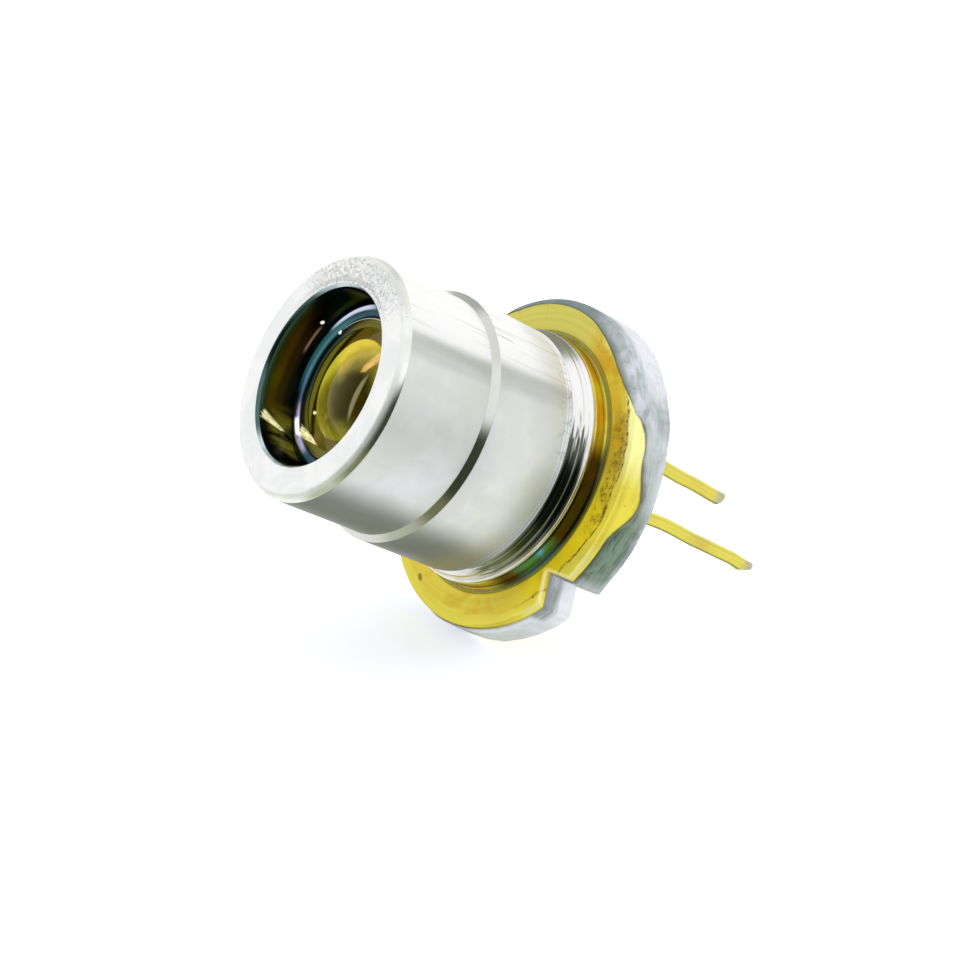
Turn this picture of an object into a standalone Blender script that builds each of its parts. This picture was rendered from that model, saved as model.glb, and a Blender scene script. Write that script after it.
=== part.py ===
"""Laser diode in a round metal can with a collimating lens.

A notched, gold-plated stem carries a long turned steel barrel. The lens sits deep in the barrel's front
bore, and two leads pass through glass seals in the stem. The frame has +Z along the emitted beam and its
origin at the centre of the stem's flat back. The stem's notch points along -Y.
"""

import math

import bmesh
import bpy
from mathutils import Vector

MM = 0.001

# Clearances between neighbours
WELD_GAP = 0.010 * MM
BRAZE_GAP = 0.010 * MM
SEAL_GAP = 0.010 * MM
LENS_GAP = 0.010 * MM
SOLDER_GAP = 0.012 * MM
WIRE_GAP = 0.005 * MM

# Facets round a full turn
FACETS_LARGE = 72
FACETS_MEDIUM = 48
FACETS_SMALL = 20
SHARP_ANGLE = math.radians(28)
MERGE_DISTANCE = 1e-8

# Stem disc, its V notch and its raised boss
STEM_RADIUS = 4.50 * MM
STEM_THICKNESS = 1.15 * MM
STEM_FRONT_BEVEL = 0.12 * MM
STEM_BACK_BEVEL = 0.07 * MM
NOTCH_DEPTH = 0.75 * MM
NOTCH_HALF_ANGLE = math.radians(38)
BOSS_RADIUS = 3.48 * MM
BOSS_HEIGHT = 0.42 * MM
BOSS_FILLET = 0.13 * MM
BOSS_EDGE = 0.03 * MM
BOSS_FILLET_STEPS = 4

# Glass seals in the stem, and the leads through them
SEAL_RADIUS = 0.52 * MM
SEAL_RECESS = 0.06 * MM
LEAD_RADIUS = 0.20 * MM
LEAD_HALF_PITCH = 1.00 * MM
LEAD_ROW_Y = 1.20 * MM
LEAD_INNER_LENGTH = 1.00 * MM
LEAD_SHORT_LENGTH = 6.85 * MM
LEAD_LONG_LENGTH = 10.30 * MM
LEAD_CUT_SLOPE = math.tan(math.radians(22))
LEAD_SIDES = 14
LEAD_RINGS = 20

# Handling bends of the leads: the furthest push, then (share of the lead's length, share of the push)
LEAD_BOW_X = 0.19 * MM
LEAD_BOW_Y = 0.24 * MM
LEAD_SHORT_BENDS = ((0.0, 0.0), (0.29, 0.0), (0.55, 0.25), (0.80, -0.02), (1.0, -0.26))
LEAD_LONG_BENDS = (
    (0.0, 0.0),
    (0.19, 0.0),
    (0.39, 0.35),
    (0.62, 0.84),
    (0.78, 0.60),
    (0.91, 0.52),
    (1.0, 0.24),
)

# Barrel, outside
BARREL_LENGTH = 6.13 * MM
FLANGE_RADIUS = 3.48 * MM
FLANGE_EDGE = 0.10 * MM
FLANGE_EDGE_ROUND = 0.03 * MM
FLARE_RADIUS = 3.30 * MM
FLARE_LENGTH = 0.33 * MM
FLARE_STEPS = 4
GROOVE_RADIUS = 3.25 * MM
GROOVE_WIDTH = 0.12 * MM
GROOVE_SIDE = 0.07 * MM
REAR_RADIUS = 3.345 * MM
REAR_LENGTH = 3.18 * MM
STEP_CHAMFER_LENGTH = 0.15 * MM
FRONT_RADIUS = 3.18 * MM
FRONT_CHAMFER_LENGTH = 0.23 * MM
FRONT_CHAMFER_DEPTH = 0.146 * MM

# Barrel, inside
MOUTH_RADIUS = 2.293 * MM
MOUTH_CHAMFER = 0.07 * MM
MOUTH_DEPTH = 1.08 * MM
LEDGE_RISE = 0.08 * MM
LEDGE_RING_RADIUS = 1.93 * MM
LEDGE_GROOVE = 0.03 * MM
APERTURE_RADIUS = 1.62 * MM
APERTURE_LIP = 0.10 * MM
SHOULDER_WIDTH = 0.67 * MM
CAVITY_CHAMFER = 0.12 * MM

# Lens and its solder-glass ring
LENS_RADIUS = 1.95 * MM
LENS_EDGE_LENGTH = 1.25 * MM
LENS_DOME_RADIUS = 1.34 * MM
LENS_DOME_HEIGHT = 0.42 * MM
LENS_DOME_FLATTENING = 0.18
LENS_BACK_RADIUS = 1.40 * MM
LENS_BACK_HEIGHT = 0.12 * MM
LENS_RINGS = 10
LENS_STAND_OUT = 0.34 * MM
FRIT_WIDTH = 0.40 * MM
FRIT_HEIGHT = 0.26 * MM
FRIT_SLOPE = ((0.18, 0.62), (0.50, 0.26), (1.00, 0.06))

# Heat sink, submount, chip and bond wires
SINK_WIDTH = 2.60 * MM
SINK_DEPTH = 1.50 * MM
SINK_HEIGHT = 2.10 * MM
SINK_EDGE = 0.06 * MM
SUBMOUNT_WIDTH = 1.10 * MM
SUBMOUNT_LENGTH = 1.50 * MM
SUBMOUNT_THICKNESS = 0.20 * MM
SUBMOUNT_SETBACK = 0.03 * MM
CHIP_WIDTH = 0.24 * MM
CHIP_LENGTH = 1.20 * MM
CHIP_THICKNESS = 0.10 * MM
CHIP_SETBACK = 0.01 * MM
WIRE_RADIUS = 0.020 * MM
WIRE_SPACING = 0.22 * MM
WIRE_ARCH = 0.30 * MM
WIRE_POINTS = 9
WIRES_PER_LEAD = 2

# Solder left round the rim when the part was lifted out of its board
SOLDER_BOTTOM = 0.06 * MM
SOLDER_THICKNESS = 0.085 * MM
SOLDER_RIPPLE = 0.020 * MM
SOLDER_WAVES = ((5, 1.0, 0.6), (11, 0.7, 0.0), (17, 0.5, 2.0))
SOLDER_TOP_WAVES = 7
SOLDER_BULGE = ((1.05, 0.50), (0.95, 0.17), (0.45, 0.05))
SOLDER_ROOT = 0.30 * MM
SOLDER_SIDE_HEIGHT = 0.98 * MM
SOLDER_LOW_DIP = 0.49 * MM
SOLDER_LOW_ANGLE = math.radians(-52)
SOLDER_LOW_SPREAD = math.radians(15)
SOLDER_SHOULDER_DIP = 0.20 * MM
SOLDER_SHOULDER_ANGLE = math.radians(-36)
SOLDER_SHOULDER_SPREAD = math.radians(14)
SOLDER_LAP_HEIGHT = 0.075 * MM
SOLDER_LAP_WIDTH = 0.40 * MM
SOLDER_LAP_ANGLE = math.radians(8)
SOLDER_LAP_SPREAD = math.radians(42)
SOLDER_LAP_STEEPNESS = 5.0
SOLDER_LAP_EDGE = 0.02
OUTLINE_STEP = 0.05 * MM

# Heights and places that follow from the sizes above
FACE_Z = STEM_THICKNESS
BOSS_TOP_Z = STEM_THICKNESS + BOSS_HEIGHT
BARREL_Z = BOSS_TOP_Z + WELD_GAP
BARREL_FRONT_Z = BARREL_Z + BARREL_LENGTH
FLARE_Z = BARREL_Z + FLANGE_EDGE + FLARE_LENGTH
GROOVE_TOP_Z = FLARE_Z + 2 * GROOVE_SIDE + GROOVE_WIDTH
STEP_Z = BARREL_Z + REAR_LENGTH
LEDGE_Z = BARREL_FRONT_Z - MOUTH_DEPTH
RING_Z = LEDGE_Z + LEDGE_RISE
LIP_Z = RING_Z - APERTURE_LIP
LENS_SEAT_RADIUS = LENS_RADIUS + LENS_GAP
LENS_TOP_Z = LIP_Z - LENS_GAP
LENS_BACK_Z = LENS_TOP_Z - LENS_EDGE_LENGTH
SHOULDER_Z = LENS_BACK_Z + LENS_STAND_OUT
SHOULDER_RADIUS = LENS_SEAT_RADIUS + SHOULDER_WIDTH
CAVITY_RADIUS = SHOULDER_RADIUS + CAVITY_CHAMFER
SINK_Z = BOSS_TOP_Z + BRAZE_GAP
SINK_TOP_Z = SINK_Z + SINK_HEIGHT
CHIP_FRONT_Y = CHIP_THICKNESS / 2
SUBMOUNT_FRONT_Y = CHIP_FRONT_Y - CHIP_THICKNESS - BRAZE_GAP
SINK_FRONT_Y = SUBMOUNT_FRONT_Y - SUBMOUNT_THICKNESS - BRAZE_GAP
SUBMOUNT_TOP_Z = SINK_TOP_Z - SUBMOUNT_SETBACK
CHIP_TOP_Z = SUBMOUNT_TOP_Z - CHIP_SETBACK
LEAD_TOP_Z = BOSS_TOP_Z + LEAD_INNER_LENGTH


def clear_scene():
    for old in list(bpy.data.objects):
        bpy.data.objects.remove(old, do_unlink=True)


def material(name, colour, roughness, metallic, transmission=0.0):
    made = bpy.data.materials.new(name)
    made.use_nodes = True
    shader = made.node_tree.nodes["Principled BSDF"]
    shader.inputs["Base Color"].default_value = (*colour, 1.0)
    shader.inputs["Roughness"].default_value = roughness
    shader.inputs["Metallic"].default_value = metallic
    shader.inputs["Transmission Weight"].default_value = transmission
    return made


def add_object(name, mesh, finish, parent=None):
    made = bpy.data.objects.new(name, mesh)
    bpy.context.scene.collection.objects.link(made)
    if finish is not None:
        mesh.materials.append(finish)
    made.parent = parent
    return made


def mesh_from(bm, name):
    """Turn a bmesh into a mesh with its faces pointing out and round faces smooth."""
    bmesh.ops.recalc_face_normals(bm, faces=bm.faces)
    mesh = bpy.data.meshes.new(name)
    bm.to_mesh(mesh)
    bm.free()
    mesh.shade_smooth()
    mesh.set_sharp_from_angle(angle=SHARP_ANGLE)
    return mesh


def turned(name, profile, facets, on_axis=False):
    """Spin a profile of (radius, height) points about Z, closed unless its ends lie on the axis."""
    bm = bmesh.new()
    corners = [bm.verts.new((radius, 0.0, height)) for radius, height in profile]
    edges = [bm.edges.new((a, b)) for a, b in zip(corners, corners[1:])]
    if not on_axis:
        edges.append(bm.edges.new((corners[-1], corners[0])))
    bmesh.ops.spin(
        bm,
        geom=corners + edges,
        cent=(0, 0, 0),
        axis=(0, 0, 1),
        angle=math.tau,
        steps=facets,
        use_merge=True,
    )
    bmesh.ops.remove_doubles(bm, verts=bm.verts, dist=MERGE_DISTANCE)
    return mesh_from(bm, name)


def block(name, size, bevel=0.0):
    """A box about its own centre, with its edges bevelled."""
    bm = bmesh.new()
    bmesh.ops.create_cube(bm, size=1.0)
    bmesh.ops.scale(bm, vec=size, verts=bm.verts)
    if bevel > 0:
        bmesh.ops.bevel(
            bm,
            geom=list(bm.edges),
            offset=bevel,
            offset_type="OFFSET",
            segments=2,
            profile=0.5,
            affect="EDGES",
        )
    return mesh_from(bm, name)


def boolean(target, cutter, operation):
    change = target.modifiers.new(operation.lower(), "BOOLEAN")
    change.operation = operation
    change.solver = "EXACT"
    change.object = cutter
    cutter.hide_render = True
    cutter.display_type = "WIRE"


def arc(centre, radius, start, end, steps):
    """Points of an arc in the (radius, height) plane, both ends included."""
    turns = [start + (end - start) * step / steps for step in range(steps + 1)]
    return [(centre[0] + radius * math.cos(a), centre[1] + radius * math.sin(a)) for a in turns]


def notched_outline(offset):
    """The stem's outline moved outwards by offset: an arc, then the point of the V notch."""
    radius = STEM_RADIUS + offset
    apex = STEM_RADIUS - NOTCH_DEPTH + offset / math.sin(NOTCH_HALF_ANGLE)
    along = math.cos(NOTCH_HALF_ANGLE)
    reach = -apex * along + math.sqrt((apex * along) ** 2 + radius**2 - apex**2)
    corner = Vector((reach * math.sin(NOTCH_HALF_ANGLE), -apex - reach * along))
    start = math.atan2(corner.y, corner.x)
    sweep = math.tau - 2 * (start + math.pi / 2)
    angles = [start + sweep * step / FACETS_LARGE for step in range(FACETS_LARGE + 1)]
    points = [Vector((radius * math.cos(a), radius * math.sin(a))) for a in angles]
    points.append(Vector((0.0, -apex)))
    return points


def stacked_outlines(name, layers):
    """Bridge outlines at rising heights into one closed solid."""
    bm = bmesh.new()
    rings = []
    for offset, height in layers:
        rings.append([bm.verts.new((p.x, p.y, height)) for p in notched_outline(offset)])
    for lower, upper in zip(rings, rings[1:]):
        count = len(lower)
        for i in range(count):
            j = (i + 1) % count
            bm.faces.new((lower[i], lower[j], upper[j], upper[i]))
    bm.faces.new(list(reversed(rings[0])))
    bm.faces.new(rings[-1])
    return mesh_from(bm, name)


def stem_layers(gap=0.0):
    """Outline offsets and heights of the disc, grown all round by a gap."""
    return [
        (gap - STEM_BACK_BEVEL, -gap),
        (gap, STEM_BACK_BEVEL - gap),
        (gap, FACE_Z - STEM_FRONT_BEVEL + gap),
        (gap - STEM_FRONT_BEVEL, FACE_Z + gap),
    ]


def boss_profile(gap=0.0):
    """The boss and the fillet at its foot, rooted in the disc and grown all round by a gap."""
    foot = BOSS_RADIUS + BOSS_FILLET
    fillet = arc((foot, FACE_Z + BOSS_FILLET), BOSS_FILLET - gap, 1.5 * math.pi, math.pi, BOSS_FILLET_STEPS)
    root = [(0.0, FACE_Z / 2 - gap), (foot, FACE_Z / 2 - gap)]
    edge = [
        (BOSS_RADIUS + gap, BOSS_TOP_Z - BOSS_EDGE),
        (BOSS_RADIUS - BOSS_EDGE, BOSS_TOP_Z + gap),
        (0.0, BOSS_TOP_Z + gap),
    ]
    return root + fillet + edge


def build_stem(finish, root):
    stem = add_object("stem", stacked_outlines("stem", stem_layers()), finish, root)
    boss = add_object("boss_guide", turned("boss_guide", boss_profile(), FACETS_LARGE, on_axis=True), None)
    boolean(stem, boss, "UNION")
    for side in (-1, 1):
        hole_profile = [
            (0.0, -STEM_THICKNESS),
            (SEAL_RADIUS, -STEM_THICKNESS),
            (SEAL_RADIUS, BOSS_TOP_Z + STEM_THICKNESS),
            (0.0, BOSS_TOP_Z + STEM_THICKNESS),
        ]
        hole_mesh = turned("seal_hole_guide", hole_profile, FACETS_SMALL, on_axis=True)
        hole = add_object("seal_hole_guide", hole_mesh, None)
        hole.location = (side * LEAD_HALF_PITCH, LEAD_ROW_Y, 0.0)
        boolean(stem, hole, "DIFFERENCE")


def barrel_profile():
    flange = [
        (FLANGE_RADIUS - FLANGE_EDGE_ROUND, BARREL_Z),
        (FLANGE_RADIUS, BARREL_Z + FLANGE_EDGE_ROUND),
        (FLANGE_RADIUS, BARREL_Z + FLANGE_EDGE),
    ]
    flare = []
    for step in range(1, FLARE_STEPS + 1):
        turn = 0.5 * math.pi * step / FLARE_STEPS
        radius = FLANGE_RADIUS - (FLANGE_RADIUS - FLARE_RADIUS) * math.sin(turn)
        height = FLARE_Z - FLARE_LENGTH * math.cos(turn)
        flare.append((radius, height))
    groove = [
        (GROOVE_RADIUS, FLARE_Z + GROOVE_SIDE),
        (GROOVE_RADIUS, FLARE_Z + GROOVE_SIDE + GROOVE_WIDTH),
        (REAR_RADIUS, GROOVE_TOP_Z),
    ]
    step_and_front = [
        (REAR_RADIUS, STEP_Z),
        (FRONT_RADIUS, STEP_Z + STEP_CHAMFER_LENGTH),
        (FRONT_RADIUS, BARREL_FRONT_Z - FRONT_CHAMFER_LENGTH),
        (FRONT_RADIUS - FRONT_CHAMFER_DEPTH, BARREL_FRONT_Z),
    ]
    mouth = [
        (MOUTH_RADIUS + MOUTH_CHAMFER, BARREL_FRONT_Z),
        (MOUTH_RADIUS, BARREL_FRONT_Z - MOUTH_CHAMFER),
        (MOUTH_RADIUS, LEDGE_Z),
    ]
    ledge = [
        (LEDGE_RING_RADIUS, RING_Z),
        (LEDGE_RING_RADIUS - LEDGE_GROOVE, RING_Z - LEDGE_GROOVE),
        (LEDGE_RING_RADIUS - 2 * LEDGE_GROOVE, RING_Z - LEDGE_GROOVE),
        (APERTURE_RADIUS, RING_Z),
        (APERTURE_RADIUS, LIP_Z),
    ]
    inside = [
        (LENS_SEAT_RADIUS, LIP_Z),
        (LENS_SEAT_RADIUS, SHOULDER_Z),
        (SHOULDER_RADIUS, SHOULDER_Z),
        (CAVITY_RADIUS, SHOULDER_Z - CAVITY_CHAMFER),
        (CAVITY_RADIUS, BARREL_Z),
    ]
    return flange + flare + groove + step_and_front + mouth + ledge + inside


def build_barrel(finish, root):
    add_object("lens_barrel", turned("lens_barrel", barrel_profile(), FACETS_LARGE), finish, root)


def dome_point(share, radius, height, flattening):
    """A point of an aspheric dome: share 0 is its apex and 1 its foot."""
    fall = share**2 * (1 - flattening) + flattening * share**4
    return radius * share, height * (1 - fall)


def build_lens(finish, root):
    profile = []
    for ring in range(LENS_RINGS + 1):
        radius, rise = dome_point(ring / LENS_RINGS, LENS_DOME_RADIUS, LENS_DOME_HEIGHT, LENS_DOME_FLATTENING)
        profile.append((radius, LENS_TOP_Z + rise))
    profile += [(LENS_RADIUS, LENS_TOP_Z), (LENS_RADIUS, LENS_BACK_Z)]
    for ring in range(LENS_RINGS // 2, -1, -1):
        radius, rise = dome_point(2 * ring / LENS_RINGS, LENS_BACK_RADIUS, LENS_BACK_HEIGHT, 0.0)
        profile.append((radius, LENS_BACK_Z - rise))
    mesh = turned("collimating_lens", profile, FACETS_MEDIUM, on_axis=True)
    add_object("collimating_lens", mesh, finish, root)


def build_frit(finish, root):
    """The fillet of solder glass between the lens's edge and the barrel's shoulder."""
    top = SHOULDER_Z - SEAL_GAP
    inner = LENS_RADIUS + SEAL_GAP
    profile = [(inner, top), (inner, top - FRIT_HEIGHT)]
    profile += [(inner + out * FRIT_WIDTH, top - down * FRIT_HEIGHT) for out, down in FRIT_SLOPE]
    profile.append((inner + FRIT_WIDTH, top))
    add_object("lens_frit", turned("lens_frit", profile, FACETS_MEDIUM), finish, root)


def tube(name, points, radius, resolution, finish, root):
    curve = bpy.data.curves.new(name, "CURVE")
    curve.dimensions = "3D"
    curve.bevel_depth = radius
    curve.bevel_resolution = resolution
    curve.use_fill_caps = True
    spline = curve.splines.new("POLY")
    spline.points.add(len(points) - 1)
    for knot, place in zip(spline.points, points):
        knot.co = (*place, 1.0)
    curve.materials.append(finish)
    made = bpy.data.objects.new(name, curve)
    bpy.context.scene.collection.objects.link(made)
    made.parent = root
    return made


def bow(share, bends):
    """How far a handled lead is pushed sideways at a share of its length, eased from bend to bend."""
    for (start, before), (end, after) in zip(bends, bends[1:]):
        if share <= end:
            past = max(0.0, (share - start) / (end - start))
            return before + (after - before) * (0.5 - 0.5 * math.cos(math.pi * past))
    return bends[-1][1]


def rod(points, radius, sides, end_slope):
    """A round wire through the points, cut off square at the top and aslant at its last point."""
    bm = bmesh.new()
    rings = []
    for index, place in enumerate(points):
        slope = end_slope if index == len(points) - 1 else 0.0
        ring = []
        for side in range(sides):
            turn = math.tau * side / sides
            across = Vector((radius * math.cos(turn), radius * math.sin(turn), 0.0))
            across.z = -slope * (across.x + across.y) / math.sqrt(2)
            ring.append(bm.verts.new(place + across))
        rings.append(ring)
    for ring, following in zip(rings, rings[1:]):
        for i in range(sides):
            j = (i + 1) % sides
            bm.faces.new((ring[i], ring[j], following[j], following[i]))
    bm.faces.new(rings[0])
    bm.faces.new(list(reversed(rings[-1])))
    return bm


def build_leads(finish, root):
    for name, side, length, bends in (
        ("lead_short", 1, LEAD_SHORT_LENGTH, LEAD_SHORT_BENDS),
        ("lead_long", -1, LEAD_LONG_LENGTH, LEAD_LONG_BENDS),
    ):
        points = []
        for ring in range(LEAD_RINGS + 1):
            height = LEAD_TOP_Z - (LEAD_TOP_Z + length) * ring / LEAD_RINGS
            push = bow(-height / length, bends)
            points.append(Vector((LEAD_BOW_X * push, LEAD_BOW_Y * push, height)))
        mesh = mesh_from(rod(points, LEAD_RADIUS, LEAD_SIDES, LEAD_CUT_SLOPE), name)
        lead = add_object(name, mesh, finish, root)
        lead.location = (side * LEAD_HALF_PITCH, LEAD_ROW_Y, 0.0)


def build_seals(finish, root):
    for name, side in (("glass_seal_short", 1), ("glass_seal_long", -1)):
        inner = LEAD_RADIUS + SEAL_GAP
        outer = SEAL_RADIUS - SEAL_GAP
        profile = [
            (inner, SEAL_RECESS),
            (outer, SEAL_RECESS / 2),
            (outer, BOSS_TOP_Z - SEAL_RECESS / 2),
            (inner, BOSS_TOP_Z - SEAL_RECESS),
        ]
        seal = add_object(name, turned(name, profile, FACETS_SMALL), finish, root)
        seal.location = (side * LEAD_HALF_PITCH, LEAD_ROW_Y, 0.0)


def build_emitter(copper, ceramic, crystal, root):
    sink_mesh = block("heat_sink", (SINK_WIDTH, SINK_DEPTH, SINK_HEIGHT), SINK_EDGE)
    sink = add_object("heat_sink", sink_mesh, copper, root)
    sink.location = (0.0, SINK_FRONT_Y - SINK_DEPTH / 2, SINK_Z + SINK_HEIGHT / 2)
    submount_mesh = block("submount", (SUBMOUNT_WIDTH, SUBMOUNT_THICKNESS, SUBMOUNT_LENGTH))
    submount = add_object("submount", submount_mesh, ceramic, root)
    submount.location = (0.0, SUBMOUNT_FRONT_Y - SUBMOUNT_THICKNESS / 2, SUBMOUNT_TOP_Z - SUBMOUNT_LENGTH / 2)
    chip_mesh = block("laser_chip", (CHIP_WIDTH, CHIP_THICKNESS, CHIP_LENGTH))
    chip = add_object("laser_chip", chip_mesh, crystal, root)
    chip.location = (0.0, CHIP_FRONT_Y - CHIP_THICKNESS / 2, CHIP_TOP_Z - CHIP_LENGTH / 2)


def build_wires(finish, root):
    """Arched wires from the leads' inner ends to the chip and to the submount beside it."""
    lift = WIRE_RADIUS + WIRE_GAP
    for side in (-1, 1):
        for row in range(WIRES_PER_LEAD):
            shift = (row - (WIRES_PER_LEAD - 1) / 2) * WIRE_SPACING
            start = Vector((side * LEAD_HALF_PITCH + shift / 2, LEAD_ROW_Y, LEAD_TOP_Z + lift))
            if side > 0:
                pad = Vector((0.0, CHIP_FRONT_Y + lift, CHIP_TOP_Z - CHIP_LENGTH / 2 + shift))
            else:
                pad_x = -(CHIP_WIDTH + SUBMOUNT_WIDTH) / 4
                pad = Vector((pad_x, SUBMOUNT_FRONT_Y + lift, CHIP_TOP_Z - CHIP_LENGTH / 2 + shift))
            points = []
            for step in range(WIRE_POINTS):
                share = step / (WIRE_POINTS - 1)
                place = start.lerp(pad, share)
                place.y += WIRE_ARCH * math.sin(math.pi * share)
                place.z += WIRE_ARCH * math.sin(math.pi * share)
                points.append(place)
            name = f"bond_wire_{'chip' if side > 0 else 'pad'}_{row + 1}"
            tube(name, points, WIRE_RADIUS, 1, finish, root)


def bump(angle, centre, spread):
    """A smooth hill round the rim, 1 at its centre and 0 beyond its spread."""
    away = math.remainder(angle - centre, math.tau) / spread
    if abs(away) >= 1:
        return 0.0
    return 0.5 + 0.5 * math.cos(math.pi * away)


def solder_section(angle):
    """The solder's section at one place of the rim, as (offset, height) points."""
    ripple = sum(share * math.sin(count * angle + phase) for count, share, phase in SOLDER_WAVES)
    wall = SOLDER_THICKNESS + SOLDER_RIPPLE * ripple / 2
    low = SOLDER_LOW_DIP * bump(angle, SOLDER_LOW_ANGLE, SOLDER_LOW_SPREAD)
    low += SOLDER_SHOULDER_DIP * bump(angle, SOLDER_SHOULDER_ANGLE, SOLDER_SHOULDER_SPREAD)
    lap = bump(angle, SOLDER_LAP_ANGLE, SOLDER_LAP_SPREAD)
    climb = min(1.0, SOLDER_LAP_STEEPNESS * lap)
    side_top = SOLDER_SIDE_HEIGHT - low + SOLDER_RIPPLE * (1 - climb) * math.sin(SOLDER_TOP_WAVES * angle)
    top = side_top + (FACE_Z + SOLDER_LAP_HEIGHT - side_top) * climb
    lap_offset = -STEM_FRONT_BEVEL - (SOLDER_LAP_WIDTH - STEM_FRONT_BEVEL) * math.sqrt(lap)
    height = top - SOLDER_BOTTOM
    section = [(wall, SOLDER_BOTTOM)]
    section += [(share * wall, top - down * height) for share, down in SOLDER_BULGE]
    section += [
        (lap_offset / 2, top),
        (lap_offset, top - SOLDER_LAP_EDGE * height),
        (lap_offset, top - height / 4),
        (-SOLDER_ROOT, SOLDER_BOTTOM),
    ]
    return section


def build_solder(finish, root):
    """Sweep the solder round the notched rim, then cut it to the stem's disc and to its boss."""
    bm = bmesh.new()
    rings = []
    for at_rim, beyond in zip(notched_outline(0.0), notched_outline(OUTLINE_STEP)):
        outward = (beyond - at_rim) / OUTLINE_STEP
        ring = []
        for offset, height in solder_section(math.atan2(at_rim.y, at_rim.x)):
            place = at_rim + outward * offset
            ring.append(bm.verts.new((place.x, place.y, height)))
        rings.append(ring)
    for ring, following in zip(rings, rings[1:] + rings[:1]):
        count = len(ring)
        for i in range(count):
            j = (i + 1) % count
            bm.faces.new((ring[i], ring[j], following[j], following[i]))
    solder = add_object("solder_collar", mesh_from(bm, "solder_collar"), finish, root)
    disc_mesh = stacked_outlines("solder_disc_guide", stem_layers(SOLDER_GAP))
    boolean(solder, add_object("solder_disc_guide", disc_mesh, None), "DIFFERENCE")
    boss_mesh = turned("solder_boss_guide", boss_profile(SOLDER_GAP), FACETS_LARGE, on_axis=True)
    boolean(solder, add_object("solder_boss_guide", boss_mesh, None), "DIFFERENCE")


def main():
    clear_scene()
    gold = material("gold_plate", (0.86, 0.62, 0.22), 0.28, 1.0)
    steel = material("turned_steel", (0.62, 0.62, 0.58), 0.33, 1.0)
    lens_glass = material("lens_glass", (0.98, 0.95, 0.80), 0.03, 0.0, 0.9)
    seal_glass = material("seal_glass", (0.16, 0.20, 0.22), 0.15, 0.0)
    frit_glass = material("frit_glass", (0.42, 0.36, 0.25), 0.45, 0.0)
    ceramic = material("ceramic", (0.72, 0.70, 0.66), 0.55, 0.0)
    crystal = material("crystal", (0.20, 0.20, 0.22), 0.12, 0.0)
    tin = material("solder", (0.50, 0.55, 0.58), 0.38, 1.0)
    root = bpy.data.objects.new("laser_diode", None)
    bpy.context.scene.collection.objects.link(root)
    build_stem(gold, root)
    build_barrel(steel, root)
    build_lens(lens_glass, root)
    build_frit(frit_glass, root)
    build_leads(gold, root)
    build_seals(seal_glass, root)
    build_emitter(gold, ceramic, crystal, root)
    build_wires(gold, root)
    build_solder(tin, root)


main()
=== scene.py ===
import math

import bmesh
import bpy
from bpy.props import FloatProperty, FloatVectorProperty, IntProperty, PointerProperty
from mathutils import Matrix, Vector, noise


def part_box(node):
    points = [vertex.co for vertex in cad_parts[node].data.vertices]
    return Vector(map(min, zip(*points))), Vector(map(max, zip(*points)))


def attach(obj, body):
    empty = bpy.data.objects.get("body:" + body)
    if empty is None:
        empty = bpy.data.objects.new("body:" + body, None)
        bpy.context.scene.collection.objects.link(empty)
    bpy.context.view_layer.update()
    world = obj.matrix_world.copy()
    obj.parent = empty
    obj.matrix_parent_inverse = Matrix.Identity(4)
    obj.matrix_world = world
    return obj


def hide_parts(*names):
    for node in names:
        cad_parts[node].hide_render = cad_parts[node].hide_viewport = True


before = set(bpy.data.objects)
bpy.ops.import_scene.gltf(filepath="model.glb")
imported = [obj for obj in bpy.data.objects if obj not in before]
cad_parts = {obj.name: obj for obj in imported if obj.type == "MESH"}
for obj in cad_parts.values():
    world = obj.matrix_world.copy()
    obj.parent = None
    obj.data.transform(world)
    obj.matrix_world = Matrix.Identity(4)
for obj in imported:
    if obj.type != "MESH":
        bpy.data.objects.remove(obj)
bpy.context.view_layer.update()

bl_info = {
    "name": "Laser diode",
    "version": (1, 0, 0),
    "blender": (4, 5, 0),
    "location": "3D View > Sidebar > Laser diode",
    "description": "Turned barrel, gilt stem, solder, lens and leads of a laser diode, and their stage",
    "category": "Object",
}

# Shapes are modelled in millimetres and brought to metres when a piece is finished
MM = 0.001
TOLERANCE = 1e-4
WHITE = (1.0, 1.0, 1.0)
BLACK = (0.0, 0.0, 0.0)
UNTURNED = (0.0, 0.0, 0.0)

# Stem
STEM_RADIUS = 4.50
STEM_THICKNESS = 1.15
STEM_FRONT_BEVEL = 0.12
STEM_BACK_BEVEL = 0.07
STEM_BEVEL_SEGMENTS = 4
NOTCH_DEPTH = 0.75
NOTCH_HALF_ANGLE = math.radians(38)
BOSS_RADIUS = 3.48
BOSS_TOP = 1.57
BOSS_FILLET = 0.13
FILLET_STEPS = 8
BOSS_EDGE = 0.03
BOSS_FOOT = BOSS_RADIUS + BOSS_FILLET
WEAR_RADIUS = STEM_RADIUS - 0.34

# Leads and seals
LEAD_RADIUS = 0.20
LEAD_TOP = 2.57
LEAD_ROOTS = {"short": Vector((1.0, 1.2, 0.0)), "long": Vector((-1.0, 1.2, 0.0))}
LEAD_LENGTHS = {"short": 6.85, "long": 10.30}
LEAD_PUSH = Vector((0.19, 0.24, 0.0))
LEAD_BENDS = {
    "short": ((0.0, 0.0), (0.29, 0.0), (0.55, 0.25), (0.80, -0.02), (1.0, -0.26)),
    "long": ((0.0, 0.0), (0.19, 0.0), (0.39, 0.35), (0.62, 0.84), (0.78, 0.60), (0.91, 0.52), (1.0, 0.24)),
}
LEAD_CUT_SLOPE = math.tan(math.radians(22))
LEAD_TIP_BEVEL = 0.025
SEAL_RADIUS = 0.52
SEAL_RECESS = 0.06
HOLE_FACETS = 48
HOLE_DEPTH = 6.0
SEAL_GAP = 0.01
SEAL_DIP = 0.04
SEAL_STEPS = 8
SEAL_FACETS = 64

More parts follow.
